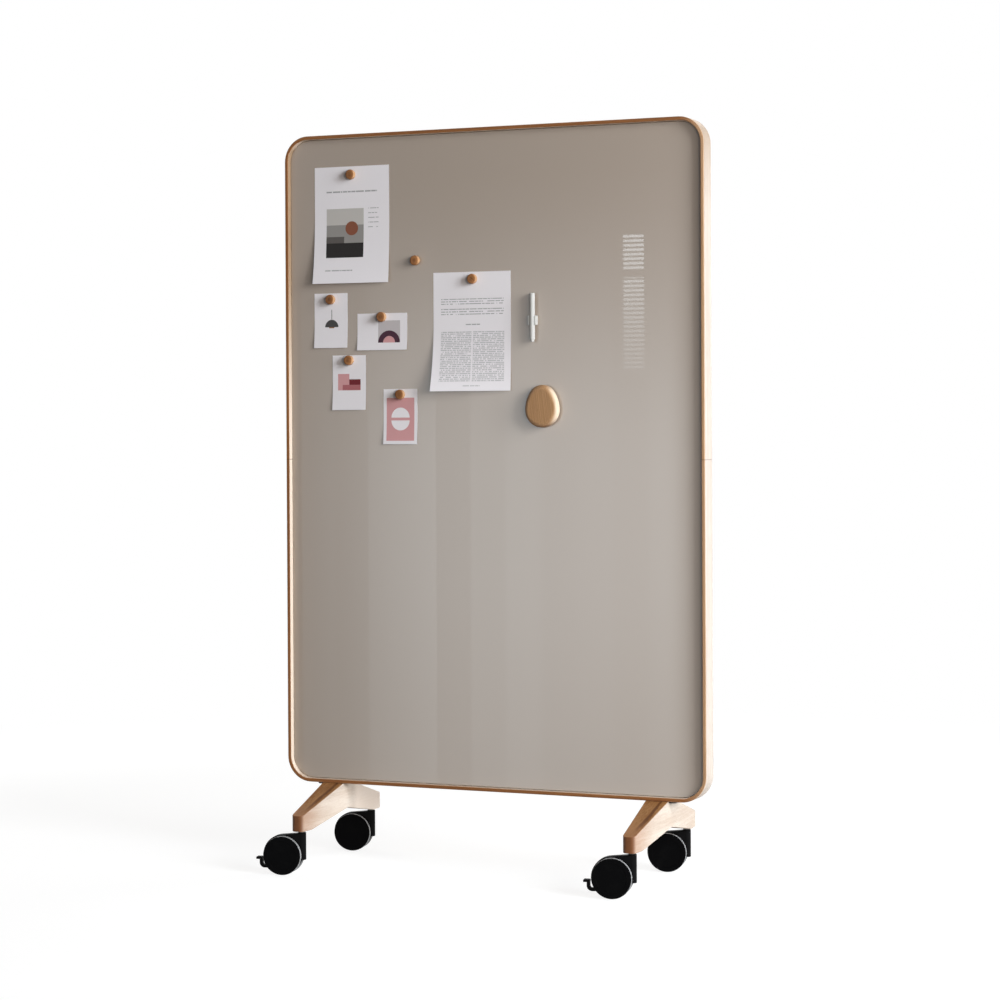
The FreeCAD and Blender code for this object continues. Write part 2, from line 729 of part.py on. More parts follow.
def eraser_parts():
    pad_back = GLASS_FACE - LAID_GAP
    block_back = pad_back - FELT_T
    front = pad_back - ERASER_T
    wood = pebble(0, front, block_back - front)
    wood = wood.makeFillet(ERASER_FRONT_R, edges_at(wood, Y_AXIS, front))
    wood = wood.makeFillet(ERASER_BACK_R, edges_at(wood, Y_AXIS, block_back))
    magnets = []
    for drop in (0, -ERASER_RISE):
        seat = on_board(ERASER_LEFT, ERASER_DROP + drop, block_back)
        magnets.append(cylinder(ERASER_MAGNET_D, ERASER_MAGNET_T, seat, -Y_AXIS))
        pocket_d = ERASER_MAGNET_D + 2 * PEG_FIT
        wood = wood.cut(cylinder(pocket_d, ERASER_MAGNET_T + PEG_FIT, seat, -Y_AXIS))
    return {
        "eraser_block": wood,
        "eraser_felt": pebble(FELT_INSET, block_back, FELT_T),
        "eraser_magnets": Part.makeCompound(magnets),
    }


def marker_parts():
    """A marker held upright in an open cradle, with a flat magnet let into the cradle's back."""
    back = GLASS_FACE - LAID_GAP
    bore_r = MARKER_D / 2 + CLIP_PLAY
    axis_y = back - CLIP_BASE_T - bore_r
    front = axis_y - CLIP_GRASP
    centre = on_board(CLIP_LEFT, CLIP_DROP, axis_y)
    back_centre = V(centre.x, back, centre.z)
    corner = V(CLIP_W / 2, 0, CLIP_H / 2)
    clip = block(V(centre.x, front, centre.z) - corner, back_centre + corner)
    clip = clip.makeFillet(CLIP_CORNER_R, edges_along(clip, Y_AXIS))
    clip = clip.makeFillet(CLIP_EDGE_R, edges_at(clip, Y_AXIS, front))
    clip = clip.cut(cylinder(2 * bore_r, CLIP_H, centre - Z_AXIS * (CLIP_H / 2)))
    pocket_d = CLIP_MAGNET_D + 2 * PEG_FIT
    clip = clip.cut(cylinder(pocket_d, CLIP_MAGNET_T + PEG_FIT, back_centre, -Y_AXIS))

    r = MARKER_D / 2
    neck = MARKER_NECK_D / 2
    plug = MARKER_PLUG_D / 2
    barrel = [
        (0, 0),
        (plug - MARKER_EDGE, 0),
        (plug, MARKER_EDGE),
        (plug, MARKER_PLUG_L),
        (r - MARKER_EDGE, MARKER_PLUG_L),
        (r, MARKER_PLUG_L + MARKER_EDGE),
        (r, MARKER_BARREL_L),
        (neck, MARKER_BARREL_L),
        (neck, MARKER_BARREL_L + MARKER_NECK_L),
        (NIB_D / 2 + PRESS_FIT, MARKER_BARREL_L + MARKER_NECK_L),
        (NIB_D / 2 + PRESS_FIT, MARKER_BARREL_L + MARKER_NECK_L - NIB_SET),
        (0, MARKER_BARREL_L + MARKER_NECK_L - NIB_SET),
    ]
    nib_low = MARKER_BARREL_L + MARKER_NECK_L - NIB_SET
    nib_top = nib_low + NIB_SET + NIB_L
    nib = [(0, nib_low), (NIB_D / 2, nib_low), (NIB_D / 2, nib_top - NIB_D / 2), (0, nib_top)]
    cap_low = MARKER_BARREL_L + LAID_GAP
    cap_top = max(cap_low + CAP_L, nib_top + CAP_WALL + LAID_GAP)
    cap_bore = neck + RUN_FIT
    cap = [
        (cap_bore, cap_low),
        (r - MARKER_EDGE / 2, cap_low),
        (r, cap_low + MARKER_EDGE / 2),
        (r, cap_top - 2 * MARKER_EDGE),
        (r - MARKER_EDGE, cap_top),
        (0, cap_top),
        (0, cap_top - CAP_WALL - CAP_ROOM / 2),
        (cap_bore, cap_top - CAP_WALL - CAP_ROOM),
    ]
    foot_of_marker = centre - Z_AXIS * MARKER_BELOW

    def upright(section):
        shape = turned([V(x, 0, z) for x, z in section], V(0, 0, 0), Z_AXIS)
        shape.translate(foot_of_marker)
        return shape

    return {
        "marker_clip": clip,
        "clip_magnet": cylinder(CLIP_MAGNET_D, CLIP_MAGNET_T, back_centre, -Y_AXIS),
        "marker_barrel": upright(barrel),
        "marker_nib": upright(nib),
        "marker_cap": upright(cap),
    }


def build():
    parts = {"frame_dowels": dowels(0)}
    parts.update(frame_halves())
    parts.update(panel_parts())
    parts.update(foot_parts())
    parts.update(stem_parts())
    parts.update(caster_parts())
    parts.update(sheet_parts())
    parts.update(eraser_parts())
    parts.update(marker_parts())
    return parts


os.makedirs("parts", exist_ok=True)
for node, shape in build().items():
    shape.exportStep("parts/%s.step" % node)
    print("%-34s %2d solids, %12.1f mm3" % (node, len(shape.Solids), shape.Volume))
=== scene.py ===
# %% [markdown]
# # A mobile glass whiteboard
#
# The real object is a wooden band bent round a glazed panel. It stands on two wooden feet with
# twin-wheel casters, and carries wooden button magnets, an eraser, a marker and a few sheets of paper.
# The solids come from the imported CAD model, so this lesson only gives them their finishes, and
# remakes the few pieces that a mesh can show better than a solid: paper, turned wood, moulded ribs.

# %% Load the frame
import json
import math

import bmesh
import bpy
from mathutils import Matrix, Vector


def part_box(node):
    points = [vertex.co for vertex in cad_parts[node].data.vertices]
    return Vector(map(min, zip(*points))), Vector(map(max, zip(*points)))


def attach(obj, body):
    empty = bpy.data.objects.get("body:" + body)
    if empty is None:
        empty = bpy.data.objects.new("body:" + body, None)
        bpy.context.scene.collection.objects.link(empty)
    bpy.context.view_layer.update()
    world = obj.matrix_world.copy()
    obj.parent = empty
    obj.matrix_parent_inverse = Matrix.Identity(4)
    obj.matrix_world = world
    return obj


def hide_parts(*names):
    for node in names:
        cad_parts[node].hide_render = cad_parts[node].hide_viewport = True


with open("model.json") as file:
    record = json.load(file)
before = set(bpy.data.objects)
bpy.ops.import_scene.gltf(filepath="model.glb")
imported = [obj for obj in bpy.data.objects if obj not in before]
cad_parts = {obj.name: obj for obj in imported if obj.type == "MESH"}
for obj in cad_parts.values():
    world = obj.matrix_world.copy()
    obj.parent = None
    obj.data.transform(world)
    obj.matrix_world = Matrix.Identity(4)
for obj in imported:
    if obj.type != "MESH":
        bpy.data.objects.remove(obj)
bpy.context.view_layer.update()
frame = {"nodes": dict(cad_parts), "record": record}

scene = bpy.context.scene
scene.view_settings.view_transform = "Standard"

# %% [markdown]
# ## The camera
#
# The photograph is a long-lens view from the right, with upright lines kept upright. That is done with
# lens shift instead of tilting the camera, so the same shift goes into Blender's camera. The numbers
# were found by matching the board's edges, the sheets and the casters to the picture.

# %% Camera
PICTURE = 1000.0
FOCAL_PIXELS = 2563.3
AXIS_PIXEL_Y = 443.0
CAMERA_ABOVE_FRAME = 0.91876
CAMERA_AT = Vector((2.5244, -5.8599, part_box("frame_lower")[0].z + CAMERA_ABOVE_FRAME))
CAMERA_YAW = 0.403893
CAMERA_PITCH = -0.008314
CAMERA_ROLL = -0.004965


def camera_axes(yaw, pitch, roll):
    """Right, up and backward directions of a camera that stands to the right of the board."""
    ahead = Vector((-math.sin(yaw) * math.cos(pitch), math.cos(yaw) * math.cos(pitch), math.sin(pitch)))
    right = Vector((math.cos(yaw), math.sin(yaw), 0.0))
    up = right.cross(ahead)
    rolled_right = right * math.cos(roll) + up * math.sin(roll)
    rolled_up = up * math.cos(roll) - right * math.sin(roll)
    return rolled_right, rolled_up, -ahead


lens = bpy.data.cameras.new("camera")
lens.sensor_width = 36.0
lens.lens = FOCAL_PIXELS / PICTURE * lens.sensor_width
lens.shift_y = (AXIS_PIXEL_Y - PICTURE / 2) / PICTURE
lens.clip_end = 100.0
camera = bpy.data.objects.new("camera", lens)
scene.collection.objects.link(camera)
camera.matrix_world = Matrix.Translation(CAMERA_AT) @ Matrix(
    camera_axes(CAMERA_YAW, CAMERA_PITCH, CAMERA_ROLL)).transposed().to_4x4()
scene.camera = camera
print("lens %.2f mm, shift %.3f" % (lens.lens, lens.shift_y))

# %% [markdown]
# ## Short calls for nodes
#
# Every finish below is a small graph of nodes. Adding and wiring nodes one by one makes long code, so
# these helpers do it in one call each: a value that is a socket is wired, and any other value is typed in.

# %% Node helpers
def put(tree, socket, value):
    """Wires a socket to another one, or types a value into it."""
    if isinstance(value, bpy.types.NodeSocket):
        tree.links.new(value, socket)
    else:
        socket.default_value = value


def add_node(tree, kind, inputs=(), **settings):
    """A new node with its settings and inputs filled in."""
    made = tree.nodes.new(kind)
    for name, value in settings.items():
        setattr(made, name, value)
    for key, value in dict(inputs).items():
        put(tree, made.inputs[key], value)
    return made


def calc(tree, operation, *values):
    """One step of arithmetic."""
    made = tree.nodes.new("ShaderNodeMath")
    made.operation = operation
    for socket, value in zip(made.inputs, values):
        put(tree, socket, value)
    return made.outputs[0]


def product(tree, *values):
    """All values multiplied together."""
    made = values[0]
    for value in values[1:]:
        made = calc(tree, "MULTIPLY", made, value)
    return made


def stretched(tree, vector, scale):
    """A vector multiplied part by part."""
    made = tree.nodes.new("ShaderNodeVectorMath")
    made.operation = "MULTIPLY"
    put(tree, made.inputs[0], vector)
    made.inputs[1].default_value = scale
    return made.outputs[0]


def noise(tree, vector, scale=1.0, detail=2.0, roughness=0.5):
    """Smooth random values from 0 to 1."""
    inputs = {"Vector": vector, "Scale": scale, "Detail": detail, "Roughness": roughness}
    return add_node(tree, "ShaderNodeTexNoise", inputs).outputs["Fac"]


def between(tree, value, low, high, to_low=0.0, to_high=1.0):
    """Maps a range of values smoothly to another."""
    inputs = {"Value": value, "From Min": low, "From Max": high, "To Min": to_low, "To Max": to_high}
    return add_node(tree, "ShaderNodeMapRange", inputs, interpolation_type="SMOOTHSTEP").outputs["Result"]


def mixed(tree, share, first, second):
    """Two colours mixed by a share from 0 to 1."""
    made = add_node(tree, "ShaderNodeMix", data_type="RGBA")
    for key, value in ((0, share), (6, first), (7, second)):
        put(tree, made.inputs[key], value)
    return made.outputs[2]


print("node helpers ready")

# %% Finish helpers
def colour(red, green, blue):
    """A colour given in the usual 0 to 255 screen values, as the linear light that Blender mixes."""
    linear = []
    for part in (red, green, blue):
        c = part / 255
        linear.append(c / 12.92 if c <= 0.04045 else ((c + 0.055) / 1.055) ** 2.4)
    return (*linear, 1.0)


def new_finish(name, **settings):
    """A material, its node tree and its main shader, with plain values typed on the shader."""
    made = bpy.data.materials.new(name)
    made.use_nodes = True
    shader = made.node_tree.nodes["Principled BSDF"]
    for key, value in settings.items():
        shader.inputs[key.replace("_", " ")].default_value = value
    return made, made.node_tree, shader


def object_point(tree):
    """The point on the surface, in the lengths of the object."""
    return tree.nodes.new("ShaderNodeTexCoord").outputs["Object"]


def split(tree, vector):
    """The three parts of a vector."""
    made = add_node(tree, "ShaderNodeSeparateXYZ", {0: vector})
    return made.outputs[0], made.outputs[1], made.outputs[2]


def joined(tree, x, y, z):
    """A vector from its three parts."""
    return add_node(tree, "ShaderNodeCombineXYZ", {0: x, 1: y, 2: z}).outputs[0]


def raise_surface(tree, shader, height, depth, strength=1.0):
    """Bump from a height between 0 and 1 and the depth in metres that it stands for."""
    inputs = {"Height": height, "Distance": depth, "Strength": strength}
    bump = add_node(tree, "ShaderNodeBump", inputs)
    tree.links.new(bump.outputs[0], shader.inputs["Normal"])


def dress(finish, *nodes):
    """Gives CAD nodes a finish."""
    for name in nodes:
        slots = frame["nodes"][name].data.materials
        slots.clear()
        slots.append(finish)


def named(*starts):
    """CAD nodes whose names start in one of these ways."""
    return [name for name in sorted(frame["nodes"]) if name.startswith(starts)]


print("finish helpers ready for", len(frame["nodes"]), "nodes")

# %% [markdown]
# ## Floor, sky and lamps
#
# A white room can be had by flooding it with light, but then pale wood burns out. Here the background
# is white only to rays that look at it: the world and part of the floor's shader answer camera, mirror
# and see-through rays with plain white, and the lamps stay at a level at which colours read as written.
# The photograph's light is a tall cool window to the right, above and a little in front of the glass. It
# grazes the pane, so the frame's right stile throws a soft dark band on it, and what hangs on the pane
# throws its shadow to the left and down. A warmer, weaker light comes from nearer the front, a second
# window further round lights what stands under the board, and two more lamps fill in the back and the
# left. The sky is weak and fades to the left. A mirror of a lamp is a blank white patch, so polished
# surfaces see none of these, and see a much weaker copy of the window instead.

# %% Floor and sky
FLOOR_SIZE = 60.0
FLOOR_GLOW = 0.83
FLOOR_SHADE = 0.26
FLOOR_NEAR = 1.3
FLOOR_FAR = 3.6
SKY_LIGHT = 0.05
SKY_LEFT = 0.35
SKY_RIGHT = 1.5
WARM = (1.0, 0.93, 0.85, 1.0)
WHITE = (1.0, 1.0, 1.0, 1.0)


def seen_directly(tree):
    """1 for camera, mirror and see-through rays, 0 for the rays that light other surfaces."""
    path = tree.nodes.new("ShaderNodeLightPath")
    seen = calc(tree, "MAXIMUM", path.outputs["Is Camera Ray"], path.outputs["Is Glossy Ray"])
    return calc(tree, "MAXIMUM", seen, path.outputs["Is Transmission Ray"])


sky = bpy.data.worlds.new("sky")
sky.use_nodes = True
sky_tree = sky.node_tree
sky_back = sky_tree.nodes["Background"]
looked_at = seen_directly(sky_tree)
put(sky_tree, sky_back.inputs["Color"], mixed(sky_tree, looked_at, WARM, WHITE))
toward = split(sky_tree, sky_tree.nodes.new("ShaderNodeTexCoord").outputs["Generated"])[0]
room = between(sky_tree, toward, -1.0, 1.0, SKY_LIGHT * SKY_LEFT, SKY_LIGHT * SKY_RIGHT)
put(sky_tree, sky_back.inputs["Strength"], between(sky_tree, looked_at, 0.0, 1.0, room, 1.0))
scene.world = sky

floor_finish, floor_tree, floor_shader = new_finish(
    "floor_paint", Roughness=0.9, Specular_IOR_Level=0.0, Emission_Color=WHITE)
away = add_node(floor_tree, "ShaderNodeVectorMath", {0: object_point(floor_tree)}, operation="LENGTH")
far = between(floor_tree, away.outputs["Value"], FLOOR_NEAR, FLOOR_FAR)
put(floor_tree, floor_shader.inputs["Base Color"],
    mixed(floor_tree, far, (FLOOR_SHADE, FLOOR_SHADE, FLOOR_SHADE, 1.0), (0.0, 0.0, 0.0, 1.0)))
put(floor_tree, floor_shader.inputs["Emission Strength"],
    product(floor_tree, seen_directly(floor_tree), between(floor_tree, far, 0.0, 1.0, FLOOR_GLOW, 1.0)))

floor_mesh = bpy.data.meshes.new("floor")
half_floor = FLOOR_SIZE / 2
floor_mesh.from_pydata(
    [(-half_floor, -half_floor, 0), (half_floor, -half_floor, 0),
     (half_floor, half_floor, 0), (-half_floor, half_floor, 0)], [], [(0, 1, 2, 3)])
floor_mesh.materials.append(floor_finish)
floor = bpy.data.objects.new("floor", floor_mesh)
scene.collection.objects.link(floor)
print("floor", FLOOR_SIZE, "m, glow", FLOOR_GLOW)

# %% Lamps
DAYLIGHT = (0.91, 0.96, 1.0)
SHINE_WATTS = 90.0
LAMPS = {
    "window": {"at": (7.0, -2.6, 3.0), "to": (0.0, 0.0, 1.0), "size": (3.0, 4.0), "watts": 800.0,
               "tint": DAYLIGHT},
    "rear_window": {"at": (9.0, 3.2, 1.2), "to": (0.0, 0.0, 0.5), "size": (2.0, 2.2), "watts": 200.0,
                    "tint": DAYLIGHT},
    "front_fill": {"at": (3.6, -4.2, 1.4), "to": (0.0, 0.0, 0.9), "size": (2.5, 2.2), "watts": 108.0,
                   "tint": (1.0, 0.92, 0.83)},
    "rear_fill": {"at": (3.2, 5.2, 1.6), "to": (0.0, 0.0, 0.8), "size": (3.0, 2.5), "watts": 200.0,
                  "tint": (1.0, 0.98, 0.95)},
    "left_fill": {"at": (-5.0, 2.6, 1.6), "to": (0.0, 0.0, 0.8), "size": (2.5, 2.2), "watts": 150.0,
                  "tint": (1.0, 0.97, 0.94)},
}


def hang_lamp(name, at, to, size, watts, tint):
    """A rectangular lamp at one point, aimed at another."""
    light = bpy.data.lights.new(name, "AREA")
    light.shape = "RECTANGLE"
    light.size, light.size_y = size
    light.energy = watts
    light.color = tint
    holder = bpy.data.objects.new(name, light)
    scene.collection.objects.link(holder)
    aim = Vector(to) - Vector(at)
    holder.matrix_world = Matrix.Translation(at) @ aim.to_track_quat("-Z", "Y").to_matrix().to_4x4()
    return holder


for name, lamp in LAMPS.items():
    hang_lamp(name, **lamp).visible_glossy = False
shine = hang_lamp("window_shine", **{**LAMPS["window"], "watts": SHINE_WATTS})
shine.visible_diffuse = False
print("lamps:", ", ".join(LAMPS))

# %% [markdown]
# A glass board is a weak mirror: a soft glow with upright folds lies over its lower half, and a narrow
# patch of bright slats near its right side. Plain lamps could not draw those, so two thin lamps hang in
# front of the board whose own shaders shape their light. Light linking lets only the panes receive it, so
# the wood and paper stay as they are lit.

# %% Mirrored folds and slats
MIRROR_TINT = (0.87, 0.95, 1.0)
FOLDS = {"at": (-0.45, -1.30, 0.93), "size": (1.5, 1.84), "watts": 30.6}
FOLD_COUNT = 13.0
SLATS = {"at": (-0.085, -1.28, 1.474), "size": (0.065, 0.40), "watts": 0.45}
SLAT_COUNT = 30.0
BAR_PLACE = 0.715

panes = bpy.data.collections.new("panes")
for name in ("glass_front", "glass_rear"):
    panes.objects.link(frame["nodes"][name])


def hang_mirrored(name, at, size, watts):
    """A lamp parallel to the board that only mirror rays from the panes see, and its shader's inputs."""
    holder = hang_lamp(name, at, (at[0], 0.0, at[2]), size, watts, MIRROR_TINT)
    holder.visible_camera = False
    holder.visible_diffuse = False
    holder.light_linking.receiver_collection = panes
    holder.data.use_nodes = True
    tree = holder.data.node_tree
    across, up, _ = split(tree, tree.nodes.new("ShaderNodeNewGeometry").outputs["Parametric"])
    return tree, across, up, tree.nodes["Emission"].inputs["Strength"]


tree, across, up, strength = hang_mirrored("mirrored_folds", **FOLDS)
number = calc(tree, "FLOOR", product(tree, across, FOLD_COUNT))
fold = add_node(tree, "ShaderNodeTexWhiteNoise", {"W": number}, noise_dimensions="1D").outputs["Value"]
put(tree, strength, product(
    tree, between(tree, across, -0.15, 0.40), between(tree, across, 0.90, 0.80),
    between(tree, up, 1.04, 0.50), between(tree, up, 0.0, 0.4, 0.75, 1.0),
    between(tree, fold, 0.0, 1.0, 0.86, 1.14)))

tree, across, up, strength = hang_mirrored("mirrored_slats", **SLATS)
slat = between(tree, calc(tree, "FRACT", product(tree, up, SLAT_COUNT)), 0.35, 0.55)
from_bar = calc(tree, "ABSOLUTE", calc(tree, "SUBTRACT", up, BAR_PLACE))
put(tree, strength, product(tree, slat, between(tree, from_bar, 0.025, 0.03),
                            between(tree, up, 0.0, 1.0, 0.25, 1.1)))
print("the panes mirror %d folds and %d slats" % (FOLD_COUNT, SLAT_COUNT))

# %% [markdown]
# ## Wood
#
# Wood is long fibres: slow bands of colour, finer growth lines and short dark pores, all stretched along
# the grain. One function makes that pattern from three lengths, along, across and into the wood, so each
# piece only has to say which way its own grain runs. A picture texture would be easier, but it would
# stretch round the bent corners, and a pattern made of lengths stays the right size everywhere.

# %% Grain pattern
# How close the parts of the pattern lie along, across and into the wood, as repeats in a metre.
BANDS = (1.3, 34.0, 34.0)
GROWTH_LINES = (2.6, 240.0, 240.0)
FIBRES = (16.0, 1500.0, 1500.0)
GRAIN_DEPTH = 0.0004
PORE_SHARE = 0.55


def grain(tree, along, across, depth):
    """Height-like values from 0 to 1: slow bands, growth lines, and pores that are 1 where open."""
    flow = joined(tree, along, across, depth)
    bands = noise(tree, stretched(tree, flow, BANDS), detail=2.0)
    lines = noise(tree, stretched(tree, flow, GROWTH_LINES), detail=4.0, roughness=0.6)
    fibres = noise(tree, stretched(tree, flow, FIBRES), detail=1.0)
    pores = between(tree, fibres, 0.60, 0.70)
    return bands, lines, pores


def wood_tone(tree, pattern, pale, deep, pore, fine=0.45):
    """A grain pattern as a colour, with the share of its fine lines against its slow bands."""
    bands, lines, pores = pattern
    mix = calc(tree, "ADD", product(tree, bands, 1 - fine), product(tree, lines, fine))
    body = mixed(tree, between(tree, mix, 0.36, 0.64), deep, pale)
    return mixed(tree, product(tree, pores, PORE_SHARE), body, pore)


def wood_skin(tree, shader, pattern, rough=0.46, gloss=0.20):
    """A grain pattern as roughness and relief: open pores are dull and sunk."""
    _, lines, pores = pattern
    shader.inputs["Specular IOR Level"].default_value = gloss
    put(tree, shader.inputs["Roughness"], between(tree, lines, 0.2, 0.8, rough + 0.06, rough - 0.06))
    relief = calc(tree, "SUBTRACT", product(tree, lines, 0.5), product(tree, pores, 0.5))
    raise_surface(tree, shader, relief, GRAIN_DEPTH, 0.5)


print("growth lines are %.0f times as long as wide" % (GROWTH_LINES[1] / GROWTH_LINES[0]))

# %% [markdown]
# ### The bent band
#
# The frame's grain follows the band round its corners. The two lengths that this needs can be worked out
# from a point's place: how far it lies along the band from the top or bottom middle, and how far out it
# lies from the corner centres. The two halves meet at half height, so the pattern jumps there as real
# wood would. The band is glued up from thin leaves, and its narrow edges show them: they are darker than
# the broad faces, partly as edge grain and partly as painted shade, and carry painted light on the right
# stile. The outer sides are a darker, greyer copy of the face wood, as painted shade that deepens near the
# top, and the lip beside the glass has painted light below and painted shade above. All of it is decided
# by where the surface lies and which way it faces, not by where the camera stands.

# %% Places on the band
frame_low, frame_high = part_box("frame_lower")[0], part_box("frame_upper")[1]
BAND_CORNER = 0.064
BAND_HALF_W = frame_high.x
BAND_MID = (frame_low.z + frame_high.z) / 2
BAND_HALF_H = (frame_high.z - frame_low.z) / 2
HALVES_APART = 5.0


def band_lengths(tree, point):
    """How far a point lies along the bent band, across its depth, and out from the corner centres."""
    x, y, z = split(tree, point)
    rise = calc(tree, "SUBTRACT", z, BAND_MID)
    run_x = BAND_HALF_W - BAND_CORNER
    run_z = BAND_HALF_H - BAND_CORNER
    abs_x, abs_z = calc(tree, "ABSOLUTE", x), calc(tree, "ABSOLUTE", rise)
    out_x = calc(tree, "MAXIMUM", calc(tree, "SUBTRACT", abs_x, run_x), 0.0)
    out_z = calc(tree, "MAXIMUM", calc(tree, "SUBTRACT", abs_z, run_z), 0.0)
    bend = product(tree, calc(tree, "ARCTAN2", out_z, out_x), BAND_CORNER)
    straight = calc(tree, "ADD", calc(tree, "MINIMUM", abs_z, run_z), bend)
    inward = calc(tree, "SUBTRACT", run_x, calc(tree, "MINIMUM", abs_x, run_x))
    from_joint = calc(tree, "ADD", straight, inward)
    whole = run_z + run_x + BAND_CORNER * math.pi / 2
    along = product(tree, calc(tree, "SIGN", x), calc(tree, "SUBTRACT", whole, from_joint))
    along = calc(tree, "ADD", along, product(tree, calc(tree, "SIGN", rise), HALVES_APART))
    out = add_node(tree, "ShaderNodeVectorMath", {0: joined(tree, out_x, 0.0, out_z)}, operation="LENGTH")
    return along, y, out.outputs["Value"]


def lean(tree, axis):
    """How far a surface's normal points along one axis, from -1 to 1."""
    normal = tree.nodes.new("ShaderNodeTexCoord").outputs["Normal"]
    return split(tree, normal)["xyz".index(axis)]


def facing(tree, axis):
    """How squarely a surface faces along one axis, from 0 to 1, either way."""
    return calc(tree, "ABSOLUTE", lean(tree, axis))


print("band of %.3f x %.3f m" % (2 * BAND_HALF_W, 2 * BAND_HALF_H))

# %% Frame wood
LEAF = 0.0024
EDGE_PAINTED_LIGHT_X = (0.50, 0.562)
SIDE_PAINTED_SHADE_Z = (1.55, 1.90)
LIP_PAINTED_LIGHT_Z = (1.05, 1.56)
JOINT_LINE = (0.0004, 0.0012)

frame_wood, tree, shader = new_finish("frame_wood")
along, across, out = band_lengths(tree, object_point(tree))
pattern = grain(tree, along, across, out)
wood_skin(tree, shader, pattern)
x, _, z = split(tree, object_point(tree))

face = wood_tone(tree, pattern, colour(221, 204, 188), colour(203, 180, 160), colour(168, 137, 112))
# Painted shade: the outer sides are a darker, greyer copy of the face wood, darker still near the top.
side_painted_shade = wood_tone(tree, pattern, colour(198, 187, 177), colour(184, 170, 158), colour(152, 127, 107))
side_painted_shade = mixed(tree, between(tree, z, *SIDE_PAINTED_SHADE_Z, 0.0, 0.85), side_painted_shade, colour(152, 130, 108))
# Painted light and shade on the lip beside the glass: pale below, deep above.
lip = mixed(tree, between(tree, z, *LIP_PAINTED_LIGHT_Z), colour(228, 211, 194), colour(160, 134, 108))
outward = product(tree, lean(tree, "x"), calc(tree, "SIGN", x))
face = mixed(tree, between(tree, outward, 0.5, 0.9), face, side_painted_shade)
face = mixed(tree, between(tree, outward, -0.5, -0.9), face, lip)

leaf_wave = calc(tree, "SINE", product(tree, out, 2 * math.pi / LEAF))
leaf = between(tree, calc(tree, "ADD", product(tree, leaf_wave, 0.25), pattern[1]), 0.25, 0.8)
# Edges show the leaves; their dark tone is partly painted shade, and the right stile's is painted light.
edge = mixed(tree, leaf, colour(120, 76, 44), colour(164, 112, 70))
edge_painted_light = mixed(tree, leaf, colour(166, 128, 96), colour(204, 166, 130))
edge = mixed(tree, between(tree, x, *EDGE_PAINTED_LIGHT_X), edge, edge_painted_light)
surface = mixed(tree, between(tree, facing(tree, "y"), 0.35, 0.85), face, edge)
from_joint = calc(tree, "ABSOLUTE", calc(tree, "SUBTRACT", z, BAND_MID))
put(tree, shader.inputs["Base Color"],
    mixed(tree, between(tree, from_joint, *JOINT_LINE, 0.7, 0.0), surface, colour(84, 56, 36)))
dress(frame_wood, "frame_upper", "frame_lower")
print("frame wood in leaves of", LEAF, "m")

# %% [markdown]
# ### The feet
#
# Each foot is sawn from a solid plank, so its grain runs straight from nose to nose. The broad sides are a
# pale copy of the wood and the slopes a brown one: partly the cut's own tone, partly painted light on the
# sides and painted shade on the slopes. The end grain of the noses drinks most oil and is darker still.
# The plank also deepens towards its front end, and the left foot's rear carries painted light where the
# board's shadow falls. A dark streak of heartwood lies just inside one side and follows the taper towards
# each nose: it is a soft stripe of distance from that line, ruffled by the grain's own noise.

# %% Foot wood
foot_low, foot_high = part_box("foot_right")
FOOT_X = (foot_low.x + foot_high.x) / 2
FOOT_HALF_W = (foot_high.x - foot_low.x) / 2
FOOT_HALF_L = foot_high.y
FOOT_TAPER = 0.48
STREAK_IN = 0.42 * FOOT_HALF_W
STREAK_WIDTH = (0.0022, 0.0060)
SLOW_RUFFLE = 0.010
FINE_RUFFLE = 0.008
FRONT_DEEPENS_Y = (-0.10, -0.225)
REAR_PAINTED_LIGHT_Y = (0.02, 0.07)
PLANKS_APART = 3.0

foot_wood, tree, shader = new_finish("foot_wood")
x, y, z = split(tree, object_point(tree))
side = calc(tree, "SIGN", x)
along = calc(tree, "ADD", y, product(tree, side, PLANKS_APART))
pattern = grain(tree, along, x, z)
wood_skin(tree, shader, pattern)
# Pale side tone and brown slope tone: partly the cut's own tone, partly painted light and shade.
sawn_and_painted_light = wood_tone(tree, pattern, colour(204, 192, 180), colour(188, 171, 156), colour(160, 133, 112))
cut_and_painted_shade = wood_tone(tree, pattern, colour(172, 126, 81), colour(141, 96, 57), colour(94, 58, 31))

to_nose = calc(tree, "DIVIDE", calc(tree, "ABSOLUTE", y), FOOT_HALF_L)
middle = calc(tree, "SUBTRACT", STREAK_IN, product(tree, to_nose, STREAK_IN * FOOT_TAPER))
ruffle = calc(tree, "ADD", product(tree, calc(tree, "SUBTRACT", pattern[0], 0.5), SLOW_RUFFLE),
              product(tree, calc(tree, "SUBTRACT", pattern[1], 0.5), FINE_RUFFLE))
off_centre = calc(tree, "SUBTRACT", x, product(tree, side, FOOT_X))
distance = calc(tree, "ABSOLUTE", calc(tree, "ADD", calc(tree, "SUBTRACT", off_centre, middle), ruffle))
streak = product(tree, between(tree, distance, *STREAK_WIDTH, 0.85, 0.0),
                 between(tree, to_nose, 0.96, 0.70))
cut_and_painted_shade = mixed(tree, streak, cut_and_painted_shade, colour(92, 52, 28))

body = mixed(tree, between(tree, facing(tree, "x"), 0.10, 0.96), cut_and_painted_shade, sawn_and_painted_light)
body = mixed(tree, between(tree, y, *FRONT_DEEPENS_Y, 0.0, 0.55), body, colour(160, 114, 84))
# Painted light on the left foot's rear, lifting it where the board shades it.
rear_painted_light = product(tree, between(tree, y, *REAR_PAINTED_LIGHT_Y), between(tree, x, 0.1, -0.1, 0.0, 0.7))
body = mixed(tree, rear_painted_light, body, colour(246, 231, 218))
put(tree, shader.inputs["Base Color"],
    mixed(tree, between(tree, facing(tree, "y"), 0.30, 0.95, 0.0, 0.85), body, colour(108, 66, 40)))
dress(foot_wood, "foot_left", "foot_right")
print("feet at x = +-%.3f m" % FOOT_X)

